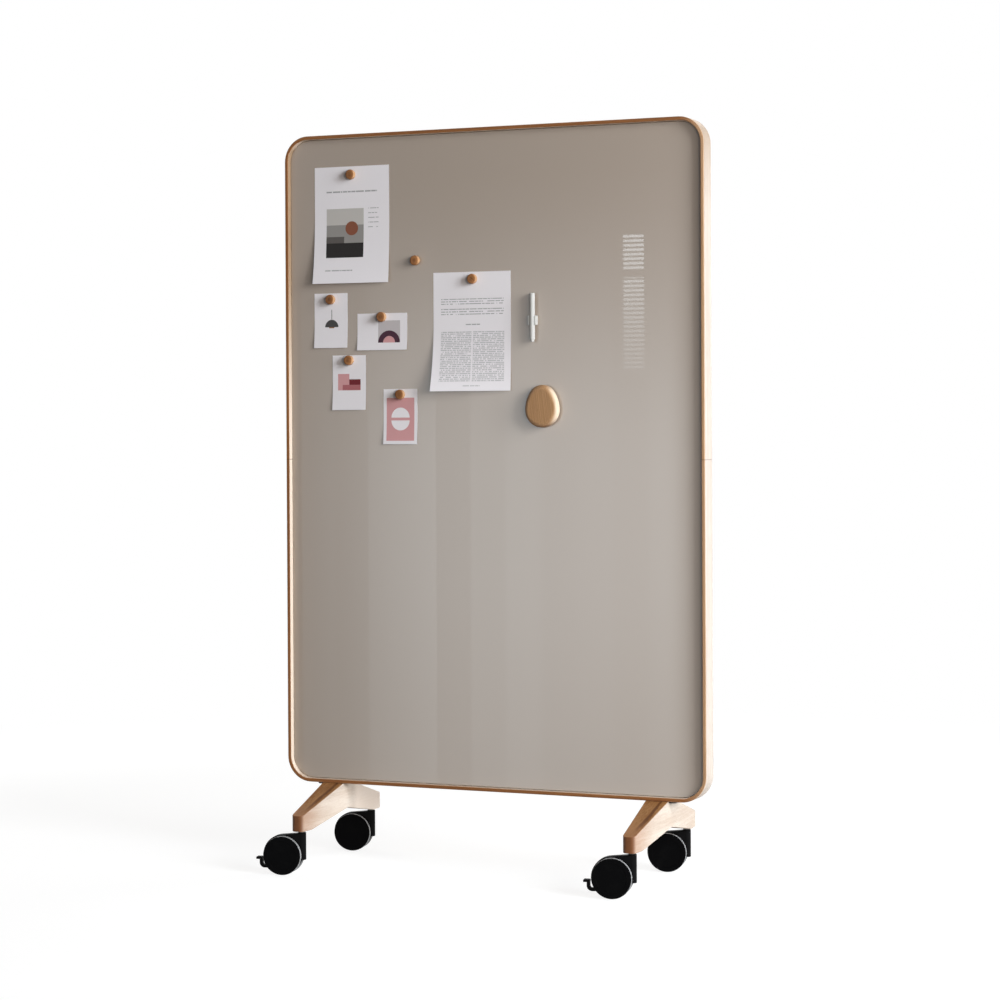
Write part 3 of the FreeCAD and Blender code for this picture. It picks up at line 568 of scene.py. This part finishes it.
# %% [markdown]
# ### The eraser and the dowels
#
# The eraser is a pebble sanded from a block whose fine grain stands upright and leans a little. The rim
# towards the window carries a painted highlight, the left and lower rims carry painted shade, and the face
# between has a soft sheen from handling. The dowels in the frame's joints are turned from the same wood.

# %% Eraser and dowel wood
FINER = 3.4
GRAIN_LEAN = 0.4

accessory_wood, tree, shader = new_finish("accessory_wood")
x, y, z = split(tree, object_point(tree))
across = calc(tree, "ADD", product(tree, x, FINER), product(tree, z, GRAIN_LEAN))
pattern = grain(tree, z, across, product(tree, y, FINER))
wood_skin(tree, shader, pattern, rough=0.38, gloss=0.4)
eraser_wood_and_painted_light = wood_tone(tree, pattern, colour(184, 144, 103), colour(150, 111, 75), colour(84, 54, 32), 0.9)
# Painted highlight on the rim towards the window, painted shade on the left and lower rims.
for axis, start, full, share, tone in (("x", 0.22, 1.00, 0.80, colour(243, 226, 204)),
                                       ("x", -0.35, -0.85, 0.6, colour(84, 48, 24)),
                                       ("z", -0.50, -0.95, 0.5, colour(110, 62, 30))):
    eraser_wood_and_painted_light = mixed(tree, between(tree, lean(tree, axis), start, full, 0.0, share), eraser_wood_and_painted_light, tone)
put(tree, shader.inputs["Base Color"], eraser_wood_and_painted_light)
dress(accessory_wood, "frame_dowels", "eraser_block")
print("eraser and dowels dressed")

# %% [markdown]
# ## Painted glass
#
# The pane is clear glass painted on its back, so the eye sees a flat colour under a mirror-smooth skin.
# A very low roughness on a painted colour gives the same look as real layers of glass, and stays cheap.
# Real panes are never quite even: wiping leaves faint upright streaks, which only the gloss shows. The
# ground edge of the pane is green, as thick glass is.

# %% Glass
WIPE_STREAKS = (9.0, 1.0, 1.2)
PAINT_DRIFT = (1.1, 1.0, 0.8)
WIPED_ROUGH = (0.006, 0.022)

painted_glass, tree, shader = new_finish("painted_glass", IOR=1.5)
point = object_point(tree)
wipe = noise(tree, stretched(tree, point, WIPE_STREAKS), detail=3.0)
drift = noise(tree, stretched(tree, point, PAINT_DRIFT), detail=1.0)
paint = mixed(tree, between(tree, drift, 0.3, 0.7), colour(165, 151, 138), colour(170, 156, 144))
put(tree, shader.inputs["Base Color"],
    mixed(tree, between(tree, facing(tree, "y"), 0.3, 0.9), colour(92, 112, 104), paint))
put(tree, shader.inputs["Roughness"], between(tree, wipe, 0.3, 0.7, *WIPED_ROUGH))
dress(painted_glass, "glass_front", "glass_rear")
print("glass dressed")

# %% [markdown]
# ## Metal and plastic
#
# Powder-coated steel, bright zinc and chrome differ mostly in how rough they are and how much of their
# colour is in the mirror. Moulded plastic gets the fine spark-eroded texture of its mould, and wheels
# pick up dust on their faces.

# %% Metals
METAL_DARKER = 0.82
METAL_DEPTH = 0.00008


def metal(name, tint, rough_low, rough_high, scale, stretch=(1.0, 1.0, 1.0), metallic=1.0):
    """Metal whose roughness and tone wander over the surface."""
    made, tree, shader = new_finish(name, Metallic=metallic)
    spots = noise(tree, stretched(tree, object_point(tree), stretch), scale=scale, detail=3.0)
    dark = tuple(c * METAL_DARKER for c in tint[:3]) + (1.0,)
    put(tree, shader.inputs["Base Color"], mixed(tree, between(tree, spots, 0.3, 0.7), dark, tint))
    put(tree, shader.inputs["Roughness"], between(tree, spots, 0.25, 0.75, rough_low, rough_high))
    raise_surface(tree, shader, spots, METAL_DEPTH, 0.3)
    return made


zinc_steel = metal("zinc_steel", colour(196, 198, 200), 0.28, 0.45, 160.0)
chrome = metal("chrome", colour(120, 118, 116), 0.10, 0.22, 90.0, (1.0, 1.0, 6.0))
black_steel = metal("black_steel", colour(34, 32, 31), 0.42, 0.60, 900.0, metallic=0.0)
dress(zinc_steel, "steel_sheets", "foot_bolts", "plate_screws", "eraser_magnets", "clip_magnet")
dress(zinc_steel, *named("caster_axle"))
dress(chrome, "caster_stems", "stem_inserts")
dress(black_steel, "foot_plate_left", "foot_plate_right")
print("metals dressed")

# %% Plastics
DUST_SCALE = 38.0
PIT_DEPTH = 0.00006


def moulded(name, tint, dusty, rough, pit_scale, dust_share, gloss=0.5):
    """Moulded plastic: fine pits from the mould and a trace of dust in slow patches."""
    made, tree, shader = new_finish(name, Specular_IOR_Level=gloss)
    point = object_point(tree)
    pits = noise(tree, point, scale=pit_scale, detail=2.0)
    cloud = noise(tree, point, scale=DUST_SCALE, detail=5.0, roughness=0.65)
    dust = between(tree, cloud, 0.45, 0.8, 0.0, dust_share)
    put(tree, shader.inputs["Base Color"], mixed(tree, dust, tint, dusty))
    put(tree, shader.inputs["Roughness"], between(tree, pits, 0.3, 0.7, rough - 0.06, rough + 0.06))
    raise_surface(tree, shader, pits, PIT_DEPTH, 0.35)
    return made


black_plastic = moulded("black_plastic", colour(14, 14, 15), colour(28, 27, 27), 0.42, 2200.0, 0.30, 0.05)
wheel_plastic = moulded("wheel_plastic", colour(7, 7, 8), colour(20, 20, 20), 0.50, 1800.0, 0.35, 0.03)
grey_tread = moulded("grey_tread", colour(146, 146, 147), colour(120, 118, 115), 0.60, 1300.0, 0.60, 0.3)
white_plastic = moulded("white_plastic", colour(191, 190, 187), colour(176, 174, 170), 0.34, 1500.0, 0.30)
felt_grey = moulded("felt", colour(96, 92, 88), colour(132, 128, 122), 0.92, 1400.0, 0.9)
core_board = moulded("core_board", colour(168, 136, 100), colour(140, 108, 76), 0.8, 900.0, 0.9)
dress(black_plastic, "caster_washers", *named("caster_body", "brake_lever"))
dress(wheel_plastic, *named("wheel_hub"))
dress(grey_tread, *named("wheel_tread"))
dress(white_plastic, "marker_clip", "marker_barrel", "marker_cap")
dress(felt_grey, "eraser_felt", "marker_nib")
dress(core_board, "core_panel")
print("plastics dressed")

# %% [markdown]
# ## Turned buttons
#
# The seven magnets are the same little disc, turned on a lathe with softly rounded rims. A superellipse
# turned about its axis gives that shape from three numbers, so a Geometry Nodes tree makes it: a grid of
# points is wrapped round the axis by a formula, and its seam and poles are merged. Each button also keeps
# two attributes that the wood reads: a turned and shifted copy of its points, so that no two buttons have
# the same grain, and how far out from the axis each point lies, which darkens the middle of the face.
# The rims carry a painted highlight on the window's side and painted shade on the other.
# A steel disc is let into each back.

# %% Button wood
BUTTON_GRAIN = "button_grain"
BUTTON_REACH = "button_reach"
BUTTON_STEEL = "button_steel"

button_wood, tree, shader = new_finish("button_wood")
local = add_node(tree, "ShaderNodeAttribute", attribute_name=BUTTON_GRAIN).outputs["Vector"]
x, y, z = split(tree, local)
pattern = grain(tree, z, x, y)
wood_skin(tree, shader, pattern, rough=0.42)
body = wood_tone(tree, pattern, colour(164, 113, 72), colour(136, 90, 55), colour(88, 55, 32))
reach = add_node(tree, "ShaderNodeAttribute", attribute_name=BUTTON_REACH).outputs["Fac"]
heart = product(tree, between(tree, reach, 0.62, 0.10), between(tree, pattern[1], 0.3, 0.7, 0.9, 0.3))
body = mixed(tree, heart, body, colour(96, 60, 36))
# Painted highlight on the rim towards the window, painted shade on the rim away from it.
body = mixed(tree, between(tree, lean(tree, "x"), 0.25, 0.85, 0.0, 0.5), body, colour(214, 174, 132))
body = mixed(tree, between(tree, lean(tree, "x"), -0.20, -0.75, 0.0, 0.5), body, colour(84, 48, 26))
put(tree, shader.inputs["Base Color"], body)
print("button wood reads the attributes", BUTTON_GRAIN, "and", BUTTON_REACH)

# %% Button tree
BUTTON_INPUTS = {
    "Diameter": ("NodeSocketFloat", 0.025),
    "Thickness": ("NodeSocketFloat", 0.014),
    "Squareness": ("NodeSocketFloat", 4.6),
    "Centre": ("NodeSocketVector", (0.0, 0.0, 0.0)),
    "Grain Turn": ("NodeSocketFloat", 0.0),
    "Grain Shift": ("NodeSocketFloat", 0.0),
    "Magnet Diameter": ("NodeSocketFloat", 0.015),
    "Magnet Depth": ("NodeSocketFloat", 0.0004),
}
BUTTON_TURNS = 65
BUTTON_STEPS = 37
DISC_SIDES = 40
DISC_SUNK = 0.4
MERGE = 0.00001


def new_tree(name, inputs):
    """An empty Geometry Nodes tree with named inputs, those inputs' sockets and the result's socket."""
    made = bpy.data.node_groups.new(name, "GeometryNodeTree")
    made.interface.new_socket("Geometry", in_out="INPUT", socket_type="NodeSocketGeometry")
    for label, (kind, value) in inputs.items():
        made.interface.new_socket(label, in_out="INPUT", socket_type=kind).default_value = value
    made.interface.new_socket("Geometry", in_out="OUTPUT", socket_type="NodeSocketGeometry")
    return made, made.nodes.new("NodeGroupInput").outputs, made.nodes.new("NodeGroupOutput").inputs[0]


def position(tree):
    """Where the points of a geometry lie."""
    return tree.nodes.new("GeometryNodeInputPosition").outputs[0]


def superpower(tree, wave, power):
    """A wave's size raised to a power, with its sign kept."""
    size = calc(tree, "POWER", calc(tree, "ABSOLUTE", wave), power)
    return product(tree, calc(tree, "SIGN", wave), size)


def stored(tree, geometry, name, value, data_type, domain):
    """Geometry that keeps a value under a name."""
    inputs = {"Geometry": geometry, "Name": name, "Value": value}
    return add_node(tree, "GeometryNodeStoreNamedAttribute", inputs,
                    data_type=data_type, domain=domain).outputs[0]


button_tree, given, result = new_tree("turned_button", BUTTON_INPUTS)
tree = button_tree
radius = product(tree, given["Diameter"], 0.5)
half_thick = product(tree, given["Thickness"], 0.5)
print("button tree starts with", len(BUTTON_INPUTS), "inputs")

# %% Button body
grid = add_node(tree, "GeometryNodeMeshGrid", {"Vertices X": BUTTON_TURNS, "Vertices Y": BUTTON_STEPS})
u, v, _ = split(tree, position(tree))
around = product(tree, u, 2 * math.pi)
rise = product(tree, v, math.pi)
power = calc(tree, "DIVIDE", 2.0, given["Squareness"])
reach = product(tree, superpower(tree, calc(tree, "COSINE", rise), power), radius)
level = product(tree, superpower(tree, calc(tree, "SINE", rise), power), half_thick)
shape = joined(tree, product(tree, reach, calc(tree, "COSINE", around)), level,
               product(tree, reach, calc(tree, "SINE", around)))
wrapped = add_node(tree, "GeometryNodeSetPosition", {"Geometry": grid.outputs[0], "Position": shape})
closed = add_node(tree, "GeometryNodeMergeByDistance",
                  {"Geometry": wrapped.outputs[0], "Distance": MERGE})

turned = add_node(tree, "ShaderNodeVectorRotate",
                  {"Vector": position(tree), "Angle": given["Grain Turn"]}, rotation_type="Y_AXIS")
shifted = add_node(tree, "ShaderNodeVectorMath",
                   {0: turned.outputs[0], 1: given["Grain Shift"]}, operation="ADD")
grained = stored(tree, closed.outputs[0], BUTTON_GRAIN, shifted.outputs[0], "FLOAT_VECTOR", "POINT")
flat = stretched(tree, position(tree), (1.0, 0.0, 1.0))
from_axis = add_node(tree, "ShaderNodeVectorMath", {0: flat}, operation="LENGTH").outputs["Value"]
reached = stored(tree, grained, BUTTON_REACH, calc(tree, "DIVIDE", from_axis, radius), "FLOAT", "POINT")
smooth = add_node(tree, "GeometryNodeSetShadeSmooth", {0: reached})
print("button body of", BUTTON_TURNS, "x", BUTTON_STEPS, "points")

# %% Steel disc and button finish
disc = add_node(tree, "GeometryNodeMeshCylinder",
                {"Vertices": DISC_SIDES, "Radius": product(tree, given["Magnet Diameter"], 0.5),
                 "Depth": given["Magnet Depth"]})
sunk = calc(tree, "SUBTRACT", half_thick, product(tree, given["Magnet Depth"], DISC_SUNK))
seated = add_node(tree, "GeometryNodeTransform",
                  {"Geometry": disc.outputs["Mesh"], "Translation": joined(tree, 0.0, sunk, 0.0),
                   "Rotation": (math.pi / 2, 0, 0)})
marked = stored(tree, seated.outputs[0], BUTTON_STEEL, True, "BOOLEAN", "FACE")
both = tree.nodes.new("GeometryNodeJoinGeometry")
tree.links.new(marked, both.inputs[0])
tree.links.new(smooth.outputs[0], both.inputs[0])
placed = add_node(tree, "GeometryNodeTransform",
                  {"Geometry": both.outputs[0], "Translation": given["Centre"]})
whole = add_node(tree, "GeometryNodeRealizeInstances", {"Geometry": placed.outputs[0]})
wood = add_node(tree, "GeometryNodeSetMaterial", {"Geometry": whole.outputs[0], "Material": button_wood})
is_steel = add_node(tree, "GeometryNodeInputNamedAttribute", {"Name": BUTTON_STEEL}, data_type="BOOLEAN")
steel = add_node(tree, "GeometryNodeSetMaterial",
                 {"Geometry": wood.outputs[0], "Selection": is_steel.outputs["Attribute"],
                  "Material": zinc_steel})
tree.links.new(steel.outputs[0], result)
print("button tree has", len(tree.nodes), "nodes")

# %% Buttons
TURN_STEP = 0.9
SHIFT_STEP = 0.37


def evaluated_mesh(holder):
    """What an object's modifiers make of it, as a plain mesh."""
    bpy.context.view_layer.update()
    return bpy.data.meshes.new_from_object(holder.evaluated_get(bpy.context.evaluated_depsgraph_get()))


def grown(name, tree, values):
    """Runs a tree once with these inputs and returns the result as a plain mesh object."""
    base = bpy.data.objects.new(name + "_base", bpy.data.meshes.new(name + "_base"))
    scene.collection.objects.link(base)
    modifier = base.modifiers.new("grow", "NODES")
    modifier.node_group = tree
    for item in tree.interface.items_tree:
        if item.in_out == "INPUT" and item.name in values:
            modifier[item.identifier] = values[item.name]
    mesh = evaluated_mesh(base)
    bpy.data.objects.remove(base)
    mesh.name = name
    made = bpy.data.objects.new(name, mesh)
    scene.collection.objects.link(made)
    return made


for name in named("button_magnet_"):
    number = int(name.rsplit("_", 1)[1])
    low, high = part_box(name)
    centre = (low + high) / 2
    button = grown("turned_button_%d" % number, button_tree, {
        "Diameter": high.x - low.x, "Thickness": high.y - low.y, "Centre": centre[:],
        "Grain Turn": TURN_STEP * number, "Grain Shift": SHIFT_STEP * number})
    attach(button, "button_%d" % number)
    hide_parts(name)
    print(button.name, len(button.data.polygons), "faces")

# %% [markdown]
# ## Ribs on the brake tabs
#
# The toe needs grip on the small tab that presses a brake, so its top is moulded with a few half-round
# ribs. They are the same bar set out along a line, which is what instances on points are for. The tab
# leans with its caster, so the row is placed and turned by the brake's own hinge, read from the packed
# record.

# %% Rib tree
RIB_INPUTS = {
    "Count": ("NodeSocketInt", 4),
    "Spacing": ("NodeSocketFloat", 0.0026),
    "Length": ("NodeSocketFloat", 0.0132),
    "Radius": ("NodeSocketFloat", 0.0006),
    "Middle": ("NodeSocketVector", (0.0, 0.0, 0.0)),
    "Turn": ("NodeSocketVector", (0.0, 0.0, 0.0)),
}
RIB_SIDES = 16

rib_tree, given, result = new_tree("tab_ribs", RIB_INPUTS)
tree = rib_tree
row_start = product(tree, calc(tree, "SUBTRACT", given["Count"], 1.0), given["Spacing"], -0.5)
row = add_node(tree, "GeometryNodeMeshLine",
               {"Count": given["Count"], "Start Location": joined(tree, row_start, 0.0, 0.0),
                "Offset": joined(tree, given["Spacing"], 0.0, 0.0)})
bar = add_node(tree, "GeometryNodeMeshCylinder",
               {"Vertices": RIB_SIDES, "Radius": given["Radius"], "Depth": given["Length"]})
ribs = add_node(tree, "GeometryNodeInstanceOnPoints",
                {"Points": row.outputs[0], "Instance": bar.outputs["Mesh"],
                 "Rotation": (math.pi / 2, 0.0, 0.0)})
placed = add_node(tree, "GeometryNodeTransform",
                  {"Geometry": ribs.outputs[0], "Translation": given["Middle"],
                   "Rotation": given["Turn"]})
whole = add_node(tree, "GeometryNodeRealizeInstances", {"Geometry": placed.outputs[0]})
black = add_node(tree, "GeometryNodeSetMaterial",
                 {"Geometry": whole.outputs[0], "Material": black_plastic})
tree.links.new(black.outputs[0], result)
print("rib tree has", len(tree.nodes), "nodes")

# %% Ribs
TAB_BEHIND_PIVOT = 0.0488
TAB_ABOVE_PIVOT = 0.0235
hinges = {joint["name"]: joint for joint in frame["record"]["behaviour"]["joints"]}

for side_name in ("left", "right"):
    hinge = hinges["brake_press_" + side_name]
    axle = Vector(hinge["axis"])
    behind = Vector((axle.y, -axle.x, 0.0))
    middle = Vector(hinge["pos_m"]) + behind * TAB_BEHIND_PIVOT + Vector((0.0, 0.0, TAB_ABOVE_PIVOT))
    ribs = grown("tab_ribs_" + side_name, rib_tree, {
        "Middle": middle[:], "Turn": (0.0, 0.0, math.atan2(behind.y, behind.x))})
    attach(ribs, "brake_front_" + side_name)
    print(ribs.name, len(ribs.data.polygons), "faces")

# %% [markdown]
# ## Paper
#
# A sheet that hangs from one magnet lies flat under it and lets its lower corners lift. Paper bends in
# one direction only, so each sheet is a grid that leaves the glass along an arc, with a different lift at
# its two lower corners. The prints are drawn by arithmetic on the sheet's own UV map: a stripe, a disc or
# a block is a comparison of u and v with fixed edges, so the drawing bends with the paper.

# %% Drawing on paper
ROW_STEP = 7.3
WORD_GAPS = 0.40
PAPER_FIBRES = 900.0
PAPER_SHADE = 0.94
PAPER_DEPTH = 0.00004


def within(tree, value, low, high):
    """1 where a value lies between two others."""
    return calc(tree, "COMPARE", value, (low + high) / 2, (high - low) / 2)


def block(tree, u, v, left, right, top, bottom):
    """1 inside an upright rectangle of the sheet."""
    return product(tree, within(tree, u, left, right), within(tree, v, top, bottom))


def disc_of(tree, u, v, at_u, at_v, radius, aspect):
    """A disc, true to round on a sheet whose height is its width times the aspect."""
    du = calc(tree, "SUBTRACT", u, at_u)
    dv = product(tree, calc(tree, "SUBTRACT", v, at_v), aspect)
    reach = calc(tree, "ADD", product(tree, du, du), product(tree, dv, dv))
    return calc(tree, "LESS_THAN", reach, radius * radius)


def disc_part(tree, u, v, at_u, at_v, radius, aspect, top, bottom):
    """The part of a disc between two heights."""
    return product(tree, disc_of(tree, u, v, at_u, at_v, radius, aspect), within(tree, v, top, bottom))


def ruled(tree, u, v, box, rows, fill, words):
    """Grey bars set out like lines of type, broken into lengths."""
    top, bottom = box[2:]
    row = product(tree, calc(tree, "SUBTRACT", v, top), rows / (bottom - top))
    bar = calc(tree, "LESS_THAN", calc(tree, "FRACT", row), fill)
    place = joined(tree, product(tree, u, words), product(tree, calc(tree, "FLOOR", row), ROW_STEP), 0.0)
    broken = calc(tree, "GREATER_THAN", noise(tree, place, detail=0.0), WORD_GAPS)
    return product(tree, bar, broken, block(tree, u, v, *box))


def printed(name, stock, layers):
    """Paper with layers of ink; each is a colour, a function that draws where it goes, and its sizes."""
    made, tree, shader = new_finish(name, Roughness=0.72, Specular_IOR_Level=0.25)
    u, v, _ = split(tree, tree.nodes.new("ShaderNodeTexCoord").outputs["UV"])
    fibre = noise(tree, object_point(tree), scale=PAPER_FIBRES, detail=3.0)
    shade = tuple(c * PAPER_SHADE for c in stock[:3]) + (1.0,)
    surface = mixed(tree, fibre, shade, stock)
    for ink, draw, *sizes in layers:
        surface = mixed(tree, draw(tree, u, v, *sizes), surface, ink)
    put(tree, shader.inputs["Base Color"], surface)
    raise_surface(tree, shader, fibre, PAPER_DEPTH, 0.3)
    return made


print("drawing on paper ready")

# %% Prints
WHITE_STOCK = colour(244, 240, 244)
INK = colour(74, 72, 72)
GREY_INK = colour(166, 165, 166)
FAINT_INK = colour(192, 191, 193)
PINK = colour(214, 160, 162)
PLUM = colour(70, 46, 58)
WINE = colour(112, 44, 50)
A4_ASPECT = 297 / 210
CARD_ASPECT = 139 / 94
WIDE_ASPECT = 93 / 139

plain_paper = printed("plain_paper", WHITE_STOCK, [])
text_sheet = printed("text_sheet", WHITE_STOCK, [
    (GREY_INK, ruled, (0.10, 0.91, 0.224, 0.284), 3, 0.34, 52),
    (GREY_INK, ruled, (0.10, 0.91, 0.308, 0.372), 3, 0.34, 52),
    (GREY_INK, ruled, (0.42, 0.61, 0.437, 0.446), 1, 0.99, 60),
    (FAINT_INK, ruled, (0.10, 0.495, 0.50, 0.925), 28, 0.60, 58),
    (FAINT_INK, ruled, (0.515, 0.917, 0.50, 0.925), 28, 0.60, 58),
    (FAINT_INK, ruled, (0.40, 0.62, 0.953, 0.961), 1, 0.99, 60),
])
poster = printed("poster", WHITE_STOCK, [
    (colour(150, 147, 144), block, 0.16, 0.66, 0.36, 0.78),
    (colour(196, 192, 188), block, 0.16, 0.66, 0.36, 0.50),
    (colour(134, 84, 66), disc_of, 0.50, 0.53, 0.085, A4_ASPECT),
    (colour(38, 36, 36), block, 0.16, 0.66, 0.655, 0.78),
    (colour(92, 88, 86), block, 0.16, 0.40, 0.60, 0.655),
    (GREY_INK, ruled, (0.16, 0.84, 0.21, 0.222), 1, 0.99, 44),
    (GREY_INK, ruled, (0.72, 0.86, 0.36, 0.56), 5, 0.14, 40),
    (GREY_INK, ruled, (0.16, 0.52, 0.886, 0.895), 1, 0.99, 44),
])
card_lamp = printed("card_lamp", WHITE_STOCK, [
    (INK, block, 0.515, 0.53, 0.30, 0.48),
    (INK, disc_part, 0.522, 0.62, 0.20, CARD_ASPECT, 0.40, 0.62),
    (colour(150, 104, 72), block, 0.44, 0.60, 0.62, 0.638),
])
card_arches = printed("card_arches", WHITE_STOCK, [
    (colour(196, 190, 192), block, 0.42, 0.86, 0.20, 0.80),
    (PLUM, disc_part, 0.64, 0.80, 0.22, WIDE_ASPECT, 0.20, 0.80),
    (PINK, disc_part, 0.64, 0.80, 0.12, WIDE_ASPECT, 0.20, 0.80),
])
card_steps = printed("card_steps", WHITE_STOCK, [
    (PINK, block, 0.16, 0.50, 0.34, 0.64),
    (WINE, block, 0.50, 0.84, 0.44, 0.64),
    (colour(176, 108, 112), block, 0.30, 0.84, 0.54, 0.64),
])
card_waves = printed("card_waves", WHITE_STOCK, [
    (PINK, block, 0.09, 0.91, 0.16, 0.94),
    (WHITE_STOCK, disc_part, 0.50, 0.52, 0.27, CARD_ASPECT, 0.20, 0.52),
    (WHITE_STOCK, disc_part, 0.50, 0.57, 0.27, CARD_ASPECT, 0.57, 0.90),
])
print("prints ready")

# %% Sheet shapes
PAPER_T = 0.0003
PAPER_OFF_GLASS = 0.0001
FLAT_SHARE = 0.4
GRID_U = 24
GRID_V = 36
SHARP = math.radians(45)
FRAME_LEFT = frame_low.x
FRAME_TOP = frame_high.z
GLASS_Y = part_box("glass_front")[0].y


def lift(below, run, curl):
    """How far an arc has left the glass at a distance below where it starts."""
    radius = (run * run + curl * curl) / (2 * curl)
    return radius - math.sqrt(radius * radius - below * below)


def add_sheet(mesh, uv_layer, slot, middle, drop, width, height, curl_left, curl_right):
    """One grid of faces with its own UV square, v counted down from the top edge."""
    run = height * (1 - FLAT_SHARE)
    rows = []
    for j in range(GRID_V + 1):
        v = j / GRID_V
        below = max(0.0, v * height - height * FLAT_SHARE)
        ends = lift(below, run, curl_left), lift(below, run, curl_right)
        row = []
        for i in range(GRID_U + 1):
            u = i / GRID_U
            y = GLASS_Y - PAPER_OFF_GLASS - PAPER_T - (ends[0] * (1 - u) + ends[1] * u)
            spot = (FRAME_LEFT + middle + (u - 0.5) * width, y, FRAME_TOP - drop - v * height)
            row.append((mesh.verts.new(spot), (u, v)))
        rows.append(row)
    for above, under in zip(rows, rows[1:]):
        for i in range(GRID_U):
            corners = (under[i], under[i + 1], above[i + 1], above[i])
            face = mesh.faces.new([vert for vert, _ in corners])
            face.material_index = slot
            face.smooth = True
            for loop, (_, uv) in zip(face.loops, corners):
                loop[uv_layer].uv = uv


def thickened(paper):
    """A sheet's faces given the paper's thickness, with sharp rims, as a plain mesh."""
    thick = paper.modifiers.new("thickness", "SOLIDIFY")
    thick.thickness = PAPER_T
    thick.offset = -1.0
    thick.material_offset = 1
    thick.material_offset_rim = 1
    solid = evaluated_mesh(paper)
    paper.modifiers.clear()
    faces = bmesh.new()
    faces.from_mesh(solid)
    for edge in faces.edges:
        edge.smooth = edge.calc_face_angle(math.pi) < SHARP
    faces.to_mesh(solid)
    faces.free()
    return solid


print("sheets start", PAPER_OFF_GLASS, "m off the glass")

# %% Hung sheets
# For each sheet: its print, its middle from the frame's left, its top from the frame's top, its width and
# height, and how far its two lower corners lift off the glass.
SHEETS = {
    "hung_sheets": ("paper_sheets", [
        (text_sheet, 0.516, 0.3575, 0.210, 0.297, 0.026, 0.004),
        (poster, 0.184, 0.0805, 0.210, 0.297, 0.016, 0.008)]),
    "hung_cards": ("paper_cards", [
        (card_lamp, 0.1235, 0.402, 0.094, 0.139, 0.004, 0.003),
        (card_arches, 0.268, 0.4555, 0.139, 0.093, 0.004, 0.003),
        (card_steps, 0.1745, 0.5605, 0.094, 0.139, 0.004, 0.003),
        (card_waves, 0.318, 0.6475, 0.094, 0.139, 0.004, 0.003)]),
}

for name, (node, rows) in SHEETS.items():
    draft = bmesh.new()
    uv_layer = draft.loops.layers.uv.new("sheet")
    mesh = bpy.data.meshes.new(name)
    for index, (finish, *sizes) in enumerate(rows):
        add_sheet(draft, uv_layer, 2 * index, *sizes)
        mesh.materials.append(finish)
        mesh.materials.append(plain_paper)
    draft.to_mesh(mesh)
    draft.free()
    paper = bpy.data.objects.new(name, mesh)
    scene.collection.objects.link(paper)
    paper.data = thickened(paper)
    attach(paper, "board")
    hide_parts(node)
    print(name, len(rows), "sheets,", len(paper.data.polygons), "faces")
